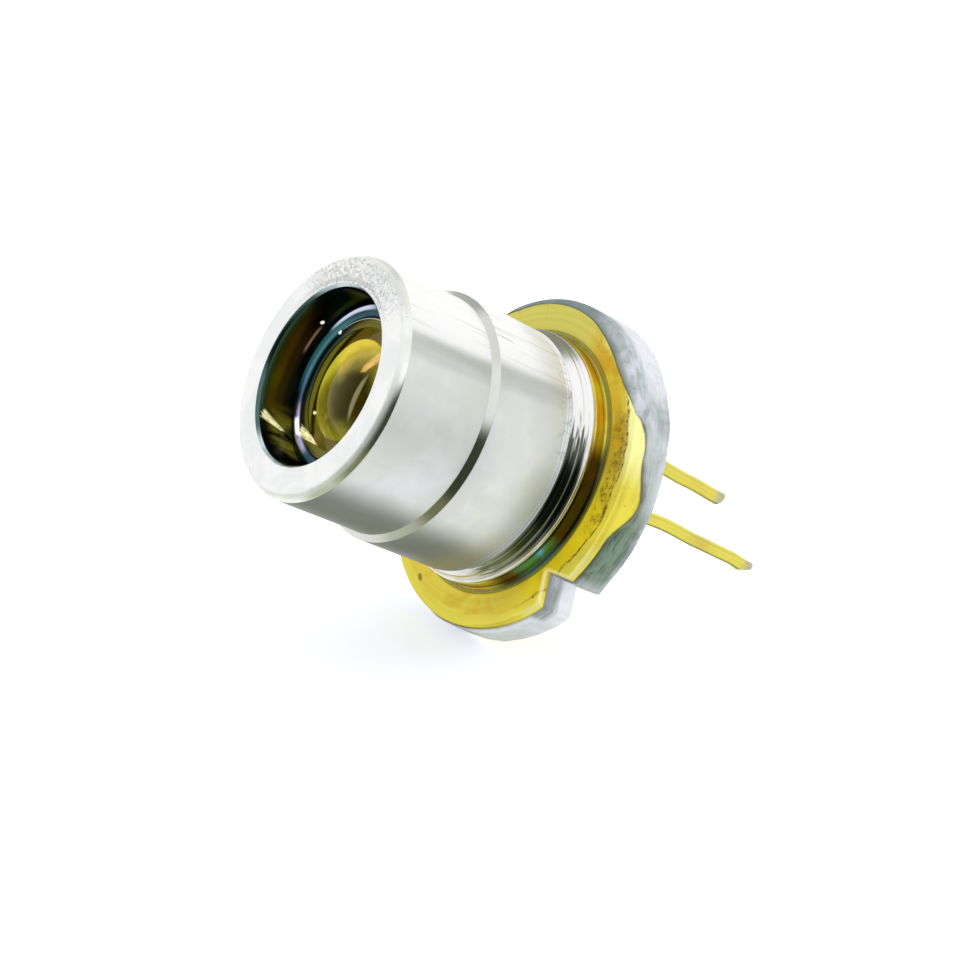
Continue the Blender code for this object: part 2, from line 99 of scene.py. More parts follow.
# Barrel
BARREL_BACK = 1.58
BARREL_FRONT = 7.71
FLANGE_RADIUS = 3.48
FLANGE_TOP = 1.68
FLANGE_BEVEL = 0.03
FLARE_FOOT_RADIUS = 3.43
FLARE_FOOT = 1.70
FLARE_RADIUS = 3.31
FLARE_TOP = 2.01
FLARE_RIDGES = ((1.77, 0.005), (1.90, 0.007))
RIDGE_HALF_WIDTH = 0.012
GROOVE_RADIUS = 3.25
GROOVE_BOTTOM = 2.08
GROOVE_TOP = 2.20
REAR_RADIUS = 3.345
REAR_BOTTOM = 2.27
TURNED_LINES = ((2.36, 0.016), (2.45, 0.010))
LINE_HALF_WIDTH = 0.02
STEP_BOTTOM = 4.76
STEP_TOP = 4.91
FRONT_RADIUS = 3.18
CHAMFER_BOTTOM = 7.48
CHAMFER_RADIUS = 3.034
LAND_ROUNDING = 0.05
MOUTH_RADIUS = 2.293
MOUTH_CHAMFER = 0.07
LEDGE = 6.63
CREST_RADIUS = 2.13
CREST_HEIGHT = 6.70
RING_RADIUS = 1.93
RING_GROOVE = 0.03
RING_HEIGHT = 6.68
APERTURE_RADIUS = 1.62
APERTURE_TOP = 6.65
LIP = 6.61
SEAT_RADIUS = 1.96
SHOULDER = 5.69
SHOULDER_RADIUS = 2.63
CAVITY_RADIUS = 2.75
CAVITY_CHAMFER = 0.12

# Lens
LENS_RADIUS = 1.95
LENS_TOP = 6.60
LENS_BACK = 5.35
LENS_BEVEL = 0.03
LENS_FACETS = 144
DOME_RADIUS = 1.34
DOME_HEIGHT = 0.42
DOME_FLATTENING = 0.18
DOME_RINGS = 28
LENS_BACK_RADIUS = 1.40
LENS_BACK_HEIGHT = 0.12

# Solder collar
SOLDER_BOTTOM = 0.06
SOLDER_THICKNESS = 0.085
SOLDER_RIPPLE = 0.020
SOLDER_WAVES = ((5, 1.0, 0.6), (11, 0.7, 0.0), (17, 0.5, 2.0))
SOLDER_SIDE_HEIGHT = 0.98
SOLDER_DIPS = ((0.49, -52, 15), (0.20, -36, 14))
SOLDER_TOP_WAVES = 7
SOLDER_BULGE = (
    (1.03, 0.80), (1.05, 0.50), (1.02, 0.32), (0.95, 0.17), (0.75, 0.10), (0.45, 0.04), (0.1, 0.01),
)
SOLDER_TOP = ((0.25, 0.0), (0.50, 0.0), (0.75, 0.0), (0.93, 0.008), (1.0, 0.03))
SOLDER_ROOT = 0.30
SOLDER_LAP_HEIGHT = 0.075
SOLDER_LAP_REACH = (
    (-30, 0.0), (-26, 0.06), (-22, 0.15), (-11, 0.38), (-3, 0.44), (5, 0.41), (14, 0.35), (24, 0.26),
    (36, 0.20), (50, 0.16), (64, 0.13), (84, 0.0),
)
SOLDER_LAP_RISE = 0.30
SOLDER_FAR_ANGLE = 48
SOLDER_FAR_SPREAD = 56
SOLDER_FAR_THINNING = 0.7
SOLDER_EDGE = 0.06
SOLDER_GAP = 0.012
SOLDER_LUMP = 0.022
SOLDER_LUMPS_PER_MM = 2.3
SWEEP_RADIUS = 20.0

# The photograph's camera, in the frame of the model
CAMERA_PLACE = Vector((23.62549121, -33.82738902, 34.67981884))
CAMERA_RIGHT = Vector((0.65592579, -0.23126723, -0.71852406))
CAMERA_UP = Vector((0.59861799, 0.73923165, 0.30853374))
CAMERA_BACK = Vector((0.45980198, -0.63249667, 0.62332183))
CAMERA_FOCAL_PIXELS = 2034.0
PICTURE_PIXELS = 960.0
SENSOR = 36.0

# The floor touches the stem's rim and the tip of the long lead
FLOOR_UP = Vector((0.807, 0.442, 0.390)).normalized()
FLOOR_DROP = 4.21
FLOOR_SIZE = 4000
FLOOR_LIFT = 0.55

# Lamps: azimuth and elevation as the camera sees them, size and distance in metres
KEY_LAMP = ((142, 30), 0.11, 0.13)
TOP_LAMP = ((15, 66), 0.09, 0.13)

# Walls of the studio that polished metal mirrors: azimuth and elevation as the camera sees them,
# the half angles where each starts to fade and ends, and its colour
STUDIO_WALLS = (
    (-25, -50, 20, 46, (0.20, 0.21, 0.10)),
    (28, -22, 25, 40, (0.018, 0.026, 0.015)),
    (-14, -10, 18, 34, (0.045, 0.055, 0.030)),
    (180, 57, 12, 26, (0.50, 0.51, 0.49)),
    (96, 20, 5, 17, (0.70, 0.71, 0.68)),
    (180, -42, 12, 28, (0.30, 0.34, 0.20)),
    (-85, -56, 10, 30, (0.52, 0.55, 0.42)),
)


def camera_direction(azimuth, elevation):
    """A direction in the model's frame from angles about the camera: azimuth 0 is towards the viewer."""
    turn = math.radians(azimuth)
    lift = math.radians(elevation)
    side = math.cos(lift) * math.sin(turn)
    front = math.cos(lift) * math.cos(turn)
    return CAMERA_RIGHT * side + CAMERA_UP * math.sin(lift) + CAMERA_BACK * front


# Materials


def plug(socket, value):
    """Link a field to an input, or set the input to a number, a vector or a colour."""
    if isinstance(value, Field):
        socket.id_data.links.new(value.socket, socket)
    else:
        socket.default_value = (*value, 1.0) if socket.type == "RGBA" else value


def node(tree, kind, inputs=None, output=0, **settings):
    """Add a node and return one of its outputs."""
    made = tree.nodes.new(kind)
    for name, value in settings.items():
        setattr(made, name, value)
    for key, value in (inputs or {}).items():
        plug(made.inputs[key], value)
    return Field(made.outputs[output])


class Field:
    """A value, colour or vector that changes over a surface: one output of a shader node."""

    def __init__(self, socket):
        self.socket = socket
        self.tree = socket.id_data

    def other(self, name):
        """Another output of the same node."""
        return Field(self.socket.node.outputs[name])

    def maths(self, operation, other=0.0, clamp=False):
        return node(self.tree, "ShaderNodeMath", {0: self, 1: other}, operation=operation, use_clamp=clamp)

    def __add__(self, other):
        return self.maths("ADD", other)

    def __sub__(self, other):
        return self.maths("SUBTRACT", other)

    def __rsub__(self, other):
        return node(self.tree, "ShaderNodeMath", {0: other, 1: self}, operation="SUBTRACT")

    def __mul__(self, other):
        return self.maths("MULTIPLY", other)

    def larger(self, other):
        """The larger of two values."""
        return self.maths("MAXIMUM", other)

    def remap(self, low, high, to_low=0.0, to_high=1.0, kind="LINEAR"):
        """The range from low to high becomes the one from to_low to to_high, and stops at its ends."""
        inputs = {"Value": self, "From Min": low, "From Max": high, "To Min": to_low, "To Max": to_high}
        return node(self.tree, "ShaderNodeMapRange", inputs, interpolation_type=kind, clamp=True)

    def ease(self, low, high, to_low=0.0, to_high=1.0):
        """A remap with soft ends."""
        return self.remap(low, high, to_low, to_high, "SMOOTHSTEP")

    def spread(self, to_low, to_high):
        """A remap of a noise, nearly all of which lies between 0.3 and 0.7."""
        return self.remap(0.3, 0.7, to_low, to_high)

    def band(self, centre, half, fade):
        """1 within a half width of a value's centre, fading to 0 over a further width."""
        return (self - centre).maths("ABSOLUTE").ease(half, half + fade, 1.0, 0.0)

    def bump(self, depth, strength=1.0):
        """The normal of a relief whose depth is in millimetres."""
        inputs = {"Height": self, "Distance": depth * MM, "Strength": strength}
        return node(self.tree, "ShaderNodeBump", inputs)

    def vector(self, operation, other=(0.0, 0.0, 0.0)):
        made = node(self.tree, "ShaderNodeVectorMath", {0: self, 1: other}, operation=operation)
        return made.other("Value") if operation in ("LENGTH", "DISTANCE", "DOT_PRODUCT") else made

    def stretched(self, scale):
        return node(self.tree, "ShaderNodeMapping", {"Vector": self, "Scale": scale})

    def height(self):
        return node(self.tree, "ShaderNodeSeparateXYZ", {0: self}, 2)

    def flat(self):
        return self.vector("MULTIPLY", (1.0, 1.0, 0.0))

    def axis_distance(self):
        return self.flat().vector("LENGTH")

    def noise(self, scale, detail, stretch=None, roughness=0.5, distortion=0.0):
        inputs = {"Vector": self.stretched(stretch) if stretch else self, "Scale": scale, "Detail": detail}
        inputs.update({"Roughness": roughness, "Distortion": distortion})
        return node(self.tree, "ShaderNodeTexNoise", inputs)

    def facing(self, angle, inner, outer):
        """1 within the inner half angle of an angle about the axis and 0 beyond the outer; in degrees."""
        turn = math.radians(angle)
        near = self.flat().vector("NORMALIZE").vector("DOT_PRODUCT", (math.cos(turn), math.sin(turn), 0.0))
        return near.ease(math.cos(math.radians(outer)), math.cos(math.radians(inner)))

    def beside(self, angle, edge, reach):
        """1 at an angle about the axis, cut off sharply on one side and fading over a reach beyond."""
        return self.facing(angle - 90, 90 - edge, 90 + edge) * self.facing(angle, 2, reach)

    def mark(self, centre, size, turn=UNTURNED):
        """A soft oval mark, 1 at its centre and 0 beyond its size; in millimetres."""
        inputs = {"Vector": self.vector("ADD", tuple(-part for part in centre)), "Rotation": turn}
        turned = node(self.tree, "ShaderNodeVectorRotate", inputs, rotation_type="EULER_XYZ")
        away = turned.vector("MULTIPLY", tuple(1 / part for part in size)).vector("LENGTH")
        return away.ease(0.55, 1.0, 1.0, 0.0)

    def spike(self, start, end, normal, width, point=0.3):
        """A streaky wedge, wide at its start and narrow at its end; in millimetres."""
        way = Vector(end) - Vector(start)
        length = way.length
        way.normalize()
        side = way.cross(Vector(normal)).normalized()
        moved = self.vector("ADD", tuple(-part for part in start))
        along = moved.vector("DOT_PRODUCT", way)
        across = moved.vector("DOT_PRODUCT", side)
        half = along.remap(0.0, length, width, width * point)
        share = across.maths("ABSOLUTE").maths("DIVIDE", half)
        track = node(self.tree, "ShaderNodeCombineXYZ", {0: along * 4.0, 1: across * 22.0})
        grain = track.noise(1.0, 2.0)
        ragged = along + grain.spread(-0.12, 0.12)
        ends = ragged.remap(-0.06, 0.02) * ragged.remap(length, length - 0.06)
        return share.remap(0.60, 1.0, 1.0, 0.0) * ends * grain.remap(0.36, 0.56, 0.35, 1.0)

    def placed(self, group, inputs):
        """Place a node group that reads this place on the piece."""
        inputs = {"Place": self, **inputs}
        return node(self.tree, "ShaderNodeGroup", inputs, node_tree=bpy.data.node_groups[group])

    def rings(self, per_mm, waver=0.03):
        """The rings of a turning tool, and finer ones."""
        rings = self.placed("turning rings", {"Rings per mm": per_mm, "Waver": waver})
        return rings, rings.other("Fine")

    def mottle(self, scale=0.6, low=0.40, high=0.62):
        return self.placed("mottle", {"Scale": scale, "Low": low, "High": high})

    def pits(self, scale=4.0, size=0.16, share=0.3):
        return self.placed("pits", {"Scale": scale, "Size": size, "Share": share})

    def scratches(self, scale=1.2, width=0.02, share=0.5):
        return self.placed("scratches", {"Scale": scale, "Width": width, "Share": share})


def blend(share, first, second):
    inputs = {0: share, 6: first, 7: second}
    return node(share.tree, "ShaderNodeMix", inputs, 2, data_type="RGBA", blend_type="MIX")


def layered(colour, *layers):
    """Lay colours over a first one, each given with its mask as (mask, colour)."""
    for mask, over in layers:
        colour = blend(mask, colour, over)
    return colour


def toned(colour, tone):
    """Darken a colour by a tone from 0 to 1."""
    shade = node(tone.tree, "ShaderNodeCombineColor", {0: tone, 1: tone, 2: tone})
    inputs = {0: 1.0, 6: colour, 7: shade}
    return node(tone.tree, "ShaderNodeMix", inputs, 2, data_type="RGBA", blend_type="MULTIPLY")


class Finish:
    """A new material, with its shader and the place on the piece in millimetres."""

    def __init__(self, name):
        self.material = bpy.data.materials.new(name)
        self.material.use_nodes = True
        self.tree = self.material.node_tree
        self.shader = self.tree.nodes["Principled BSDF"]
        place = node(self.tree, "ShaderNodeTexCoord", output="Object")
        self.place = place.stretched((1 / MM, 1 / MM, 1 / MM))

    def feed(self, **values):
        """Link or set inputs of the shader by name, with _ for a space, and return the material."""
        if "Emission_Color" in values:
            values["Emission_Strength"] = 1.0
        for name, value in values.items():
            plug(self.shader.inputs[name.replace("_", " ")], value)
        return self.material


def turned_metal(name, bright, dull, rough, rings_per_mm, ring_depth, pits):
    """Turned metal: two tones in soft patches, tool rings in tone, gloss and relief, and a few pits."""
    finish = Finish(name)
    rings, fine = finish.place.rings(rings_per_mm)
    spots = finish.place.pits(share=pits)
    colour = toned(blend(finish.place.mottle(), bright, dull), rings.spread(0.90, 1.0))
    return finish.feed(
        Base_Color=blend(spots, colour, (0.16, 0.17, 0.13)),
        Roughness=fine.spread(rough * 0.8, rough * 1.2).maths("ADD", spots * 0.25, True),
        Normal=(fine - spots * 3.0).bump(ring_depth),
        Metallic=1.0,
    )


def clouded(name, light, dark, rough, scale, metallic, depth):
    """Two tones in clouds, with their gloss and relief."""
    finish = Finish(name)
    cloud = finish.place.noise(scale, 4.0)
    return finish.feed(
        Base_Color=blend(cloud.remap(0.35, 0.65), light, dark),
        Roughness=cloud.spread(rough * 0.8, rough * 1.2),
        Normal=cloud.bump(depth),
        Metallic=metallic,
    )


# Node groups


def turning_rings(place, rings_per_mm, waver):
    """Rings left by a turning tool: they follow the radius on a face and the height on a wall."""
    split = node(place.tree, "ShaderNodeSeparateXYZ", {0: place})
    flat = node(place.tree, "ShaderNodeCombineXYZ", {0: split, 1: split.other("Y")})
    along = flat.vector("LENGTH") + split.other("Z")
    along = (along + place.noise(0.9, 2.0) * waver) * rings_per_mm
    side = node(place.tree, "ShaderNodeVectorMath", {0: flat, "Scale": 0.22}, operation="SCALE")
    track = node(place.tree, "ShaderNodeCombineXYZ", {0: along}).vector("ADD", side)
    return track.noise(1.0, 3.0), track.noise(3.1, 4.0)


def mottled_patches(place, scale, low, high):
    """Soft cloudy patches, from 0 to 1."""
    return (place.noise(scale, 3.0, distortion=0.6).ease(low, high),)


def scattered_pits(place, scale, size, share):
    """Scattered small pits and specks, 1 in a pit; only some of the cells hold one."""
    warp = place.noise(7.0, 2.0).other("Color")
    warp = node(place.tree, "ShaderNodeVectorMath", {0: warp, "Scale": 0.16}, operation="SCALE")
    inputs = {"Vector": place.vector("ADD", warp), "Scale": scale}
    cells = node(place.tree, "ShaderNodeTexVoronoi", inputs, "Distance", feature="F1")
    draw = node(place.tree, "ShaderNodeSeparateColor", {0: cells.other("Color")})
    return (cells.ease(size * 0.45, size, 1.0, 0.0) * draw.maths("LESS_THAN", share),)


def thin_scratches(place, scale, width, share):
    """Thin wandering scratches, 1 on a scratch."""
    away = (place.noise(scale, 1.5, distortion=0.4) - 0.5).maths("ABSOLUTE")
    broken = place.noise(0.8, 1.0).maths("GREATER_THAN", 1.0 - share)
    return (away.remap(0.0, width, 1.0, 0.0) * broken,)


NODE_GROUPS = (
    ("turning rings", turning_rings, {"Rings per mm": 12.0, "Waver": 0.03}, ("Rings", "Fine")),
    ("mottle", mottled_patches, {"Scale": 0.6, "Low": 0.40, "High": 0.62}, ("Patches",)),
    ("pits", scattered_pits, {"Scale": 4.0, "Size": 0.16, "Share": 0.3}, ("Pits",)),
    ("scratches", thin_scratches, {"Scale": 1.2, "Width": 0.02, "Share": 0.5}, ("Scratches",)),
)


def build_group(name, pattern, values, outputs):
    """Make a pattern a shader node group that reads a place and named values."""
    group = bpy.data.node_groups.new(name, "ShaderNodeTree")
    group.interface.new_socket(name="Place", in_out="INPUT", socket_type="NodeSocketVector")
    for label, default in values.items():
        socket = group.interface.new_socket(name=label, in_out="INPUT", socket_type="NodeSocketFloat")
        socket.default_value = default
    for label in outputs:
        group.interface.new_socket(name=label, in_out="OUTPUT", socket_type="NodeSocketFloat")
    inside = group.nodes.new("NodeGroupInput").outputs
    ends = group.nodes.new("NodeGroupOutput").inputs
    fields = pattern(*(Field(inside[label]) for label in ("Place", *values)))
    for label, field in zip(outputs, fields):
        plug(ends[label], field)


# Mesh helpers


def spun(corners, steps, closed=True):
    """Spin a profile of (radius, height) corners a full turn about Z."""
    bm = bmesh.new()
    verts = [bm.verts.new((radius, 0.0, height)) for radius, height in corners]
    edges = [bm.edges.new((a, b)) for a, b in zip(verts, verts[1:])]
    if closed:
        edges.append(bm.edges.new((verts[-1], verts[0])))
    bmesh.ops.spin(
        bm, geom=verts + edges, cent=(0, 0, 0), axis=(0, 0, 1), angle=math.tau, steps=steps, use_merge=True
    )
    bmesh.ops.remove_doubles(bm, verts=bm.verts, dist=TOLERANCE)
    bmesh.ops.recalc_face_normals(bm, faces=bm.faces)
    return bm


def ring_edges(bm, radius, height):
    """The edges of the circle at a radius and a height."""
    on_ring = {
        vert
        for vert in bm.verts
        if abs(vert.co.z - height) < TOLERANCE and abs(vert.co.xy.length - radius) < TOLERANCE
    }
    found = [edge for edge in bm.edges if on_ring.issuperset(edge.verts)]
    if not found:
        raise RuntimeError(f"no ring at radius {radius} and height {height}")
    return found


def bevel_edges(bm, edges, offset, segments):
    bmesh.ops.bevel(
        bm, geom=edges, offset=offset, offset_type="OFFSET", segments=segments, profile=0.5,
        affect="EDGES", material=-1, clamp_overlap=True,
    )


def bevel_rings(bm, rings, segments=4):
    """Round the circular edges given as (radius, height, width)."""
    for width in sorted({ring[2] for ring in rings}):
        edges = []
        for radius, height, own_width in rings:
            if own_width == width:
                edges += ring_edges(bm, radius, height)
        bevel_edges(bm, edges, width, segments)


def mesh_of(bm, name):
    mesh = bpy.data.meshes.new(name)
    bm.to_mesh(mesh)
    bm.free()
    return mesh


def added(name, data):
    """A new object in the scene."""
    made = bpy.data.objects.new(name, data)
    bpy.context.scene.collection.objects.link(made)
    return made


def cut(bm, name, cutters):
    """Join or cut a solid with other solids, each given as (bmesh, operation), and return the result."""
    body = added(name, mesh_of(bm, name))
    tools = []
    for tool, operation in cutters:
        guide = added(f"{name}_guide", mesh_of(tool, "guide"))
        change = body.modifiers.new("cut", "BOOLEAN")
        change.operation = operation
        change.solver = "EXACT"
        change.object = guide
        tools.append(guide)
    bpy.context.view_layer.update()
    graph = bpy.context.evaluated_depsgraph_get()
    made = bmesh.new()
    made.from_mesh(body.evaluated_get(graph).to_mesh())
    for old in (*tools, body):
        mesh = old.data
        bpy.data.objects.remove(old)
        bpy.data.meshes.remove(mesh)
    bmesh.ops.remove_doubles(made, verts=made.verts, dist=TOLERANCE)
    bmesh.ops.dissolve_degenerate(made, edges=made.edges, dist=TOLERANCE)
    return made


def finish_piece(name, bm, materials, replaced, sharp=35, weighted=True):
    """Turn a bmesh in millimetres into a piece that rides on the root and stands for a CAD node."""
    bmesh.ops.scale(bm, vec=(MM, MM, MM), verts=bm.verts)
    mesh = mesh_of(bm, name)
    for material in materials:
        mesh.materials.append(material)
    mesh.shade_smooth()
    mesh.set_sharp_from_angle(angle=math.radians(sharp))
    piece = added(name, mesh)
    if weighted:
        normals = piece.modifiers.new("flat faces stay flat", "WEIGHTED_NORMAL")
        normals.keep_sharp = True
        normals.weight = 80
    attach(piece, "root")
    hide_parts(replaced)


def dress_node(name, material):
    """Give a CAD node a better material."""
    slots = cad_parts[name].data.materials
    slots.clear()
    slots.append(material)


# Settings


class BarrelSettings(bpy.types.PropertyGroup):
    facets: IntProperty(name="Facets", description="Facets round the barrel", default=224, min=48)
    edge: FloatProperty(
        name="Edge rounding", description="Width of the broken edges", default=0.018 * MM, unit="LENGTH",
        precision=6,
    )
    steel: FloatVectorProperty(
        name="Steel", description="Colour of the turned walls", default=(0.99, 1.00, 0.98), subtype="COLOR"
    )
    dull: FloatVectorProperty(
        name="Dull steel", description="Colour of the patches", default=(0.90, 0.94, 0.86), subtype="COLOR"
    )
    roughness: FloatProperty(
        name="Roughness", description="Roughness of the turned walls", default=0.38, subtype="FACTOR"
    )


class StemSettings(bpy.types.PropertyGroup):
    facets: IntProperty(name="Facets", description="Facets round the stem", default=240, min=48)
    gold: FloatVectorProperty(
        name="Gold", description="Colour of the plating", default=(0.93, 0.81, 0.11), subtype="COLOR"
    )
    worn: FloatVectorProperty(
        name="Worn gold", description="Colour of the scuffs", default=(0.42, 0.29, 0.05), subtype="COLOR"
    )
    roughness: FloatProperty(
        name="Roughness", description="Roughness of the gold", default=0.28, subtype="FACTOR"
    )


class SolderSettings(bpy.types.PropertyGroup):
    sections: IntProperty(name="Sections", description="Sections round the rim", default=360, min=72)
    grey: FloatVectorProperty(
        name="Solder", description="Colour of the clean solder", default=(0.50, 0.55, 0.57), subtype="COLOR"
    )
    stained: FloatVectorProperty(
        name="Stain", description="Colour of its stains", default=(0.22, 0.28, 0.25), subtype="COLOR"
    )
    roughness: FloatProperty(
        name="Roughness", description="Roughness of the solder", default=0.36, subtype="FACTOR"
    )


class LensSettings(bpy.types.PropertyGroup):
    glass: FloatVectorProperty(
        name="Glass", description="Tint of the lens", default=(1.0, 0.97, 0.80), subtype="COLOR"
    )
    index: FloatProperty(name="Index", description="Refractive index of the glass", default=1.60)
    glint: FloatVectorProperty(
        name="Inside", description="Colour of the gilt inside", default=(0.90, 0.72, 0.18), subtype="COLOR"
    )


class LeadSettings(bpy.types.PropertyGroup):
    sides: IntProperty(name="Sides", description="Sides of a lead", default=28, min=12)
    rings: IntProperty(name="Rings", description="Rings along a lead", default=90, min=20)
    gold: FloatVectorProperty(
        name="Gold", description="Colour of the plating", default=(0.90, 0.80, 0.13), subtype="COLOR"
    )
    core: FloatVectorProperty(
        name="Core", description="Colour of a bare cut end", default=(0.46, 0.47, 0.44), subtype="COLOR"
    )


class StageSettings(bpy.types.PropertyGroup):
    floor: FloatVectorProperty(
        name="Floor", description="Colour of the floor", default=(0.79, 0.83, 0.93), subtype="COLOR"
    )
    world: FloatProperty(name="Soft light", description="Strength of the light all round", default=0.69)
    key: FloatProperty(name="Key lamp", description="Power of the key lamp", default=0.053)
    top: FloatProperty(name="Top lamp", description="Power of the top lamp", default=0.044)


# Pieces


class DIODE_OT_stage(bpy.types.Operator):
    """Set the camera, the soft light, the lamps and the pale floor"""

    bl_idname = "diode.stage"
    bl_label = "Stage"

    def execute(self, context):
        settings = context.scene.diode_stage
        self.place_camera(context.scene)
        self.light_world(context.scene, settings)
        self.place_lamp("key_lamp", *KEY_LAMP, settings.key)
        self.place_lamp("top_lamp", *TOP_LAMP, settings.top)
        self.lay_floor(settings)
        context.scene.view_settings.view_transform = "Standard"
        return {"FINISHED"}

    def place_camera(self, scene):
        lens = bpy.data.cameras.new("camera")
        lens.sensor_width = SENSOR
        lens.lens = CAMERA_FOCAL_PIXELS / PICTURE_PIXELS * SENSOR
        lens.clip_start = MM
        camera = added("camera", lens)
        turn = Matrix((CAMERA_RIGHT, CAMERA_UP, CAMERA_BACK)).transposed().to_4x4()
        camera.matrix_world = Matrix.Translation(CAMERA_PLACE * MM) @ turn
        scene.camera = camera

    def light_world(self, scene, settings):
        """White where it is seen, darker walls where metal mirrors it, and else plain soft."""
        scene.world = bpy.data.worlds.new("studio")
        scene.world.use_nodes = True
        tree = scene.world.node_tree
        tree.nodes.clear()
        direction = node(tree, "ShaderNodeTexCoord", output="Generated")
        mirrored = WHITE
        for azimuth, elevation, inner, outer, colour in STUDIO_WALLS:
            near = direction.vector("DOT_PRODUCT", camera_direction(azimuth, elevation))
            share = near.ease(math.cos(math.radians(outer)), math.cos(math.radians(inner)))
            mirrored = blend(share, mirrored, colour)
        seen = node(tree, "ShaderNodeBackground", {0: WHITE, 1: 1.0})
        walls = node(tree, "ShaderNodeBackground", {0: mirrored, 1: 1.0})
        soft = node(tree, "ShaderNodeBackground", {0: WHITE, 1: settings.world})
        path = node(tree, "ShaderNodeLightPath")
        shown = path.other("Is Camera Ray").larger(path.other("Is Transmission Ray"))
        mixed = node(tree, "ShaderNodeMixShader", {0: path.other("Is Glossy Ray"), 1: soft, 2: walls})
        mixed = node(tree, "ShaderNodeMixShader", {0: shown, 1: mixed, 2: seen})
        plug(tree.nodes.new("ShaderNodeOutputWorld").inputs[0], mixed)

    def place_lamp(self, name, angles, size, distance, power):
        lamp = bpy.data.lights.new(name, "AREA")
        lamp.shape = "SQUARE"
        lamp.size = size
        lamp.energy = power
        direction = camera_direction(*angles)
        holder = added(name, lamp)
        holder.visible_glossy = False
        aim = direction.to_track_quat("Z", "Y").to_matrix().to_4x4()
        holder.matrix_world = Matrix.Translation(direction * distance + Vector((0, 0, 4 * MM))) @ aim

    def lay_floor(self, settings):
        """A pale floor that shows from above only and keeps the object's shadow."""
        bm = bmesh.new()
        bmesh.ops.create_grid(bm, x_segments=2, y_segments=2, size=FLOOR_SIZE * MM)
        turn = FLOOR_UP.to_track_quat("Z", "Y").to_matrix()
        bmesh.ops.rotate(bm, cent=(0, 0, 0), matrix=turn, verts=bm.verts)
        bmesh.ops.translate(bm, vec=FLOOR_UP * -FLOOR_DROP * MM, verts=bm.verts)
        floor = added("floor", mesh_of(bm, "floor"))
        finish = Finish("pale floor")
        tree = finish.tree
        tree.nodes.remove(finish.shader)
        colour = toned(settings.floor, finish.place.noise(0.05, 2.0).spread(0.985, 1.0))
        matt = node(tree, "ShaderNodeBsdfDiffuse", {0: colour})
        lift = node(tree, "ShaderNodeEmission", {0: WHITE, 1: FLOOR_LIFT})
        lifted = node(tree, "ShaderNodeAddShader", {0: matt, 1: lift})
        seen = node(tree, "ShaderNodeLightPath", output="Is Camera Ray")
        top = node(tree, "ShaderNodeMixShader", {0: seen, 1: matt, 2: lifted})
        clear = node(tree, "ShaderNodeBsdfTransparent")
        behind = node(tree, "ShaderNodeNewGeometry", output="Backfacing")
        both = node(tree, "ShaderNodeMixShader", {0: behind, 1: top, 2: clear})
        plug(tree.nodes["Material Output"].inputs[0], both)
        floor.data.materials.append(finish.material)
        floor.visible_glossy = False


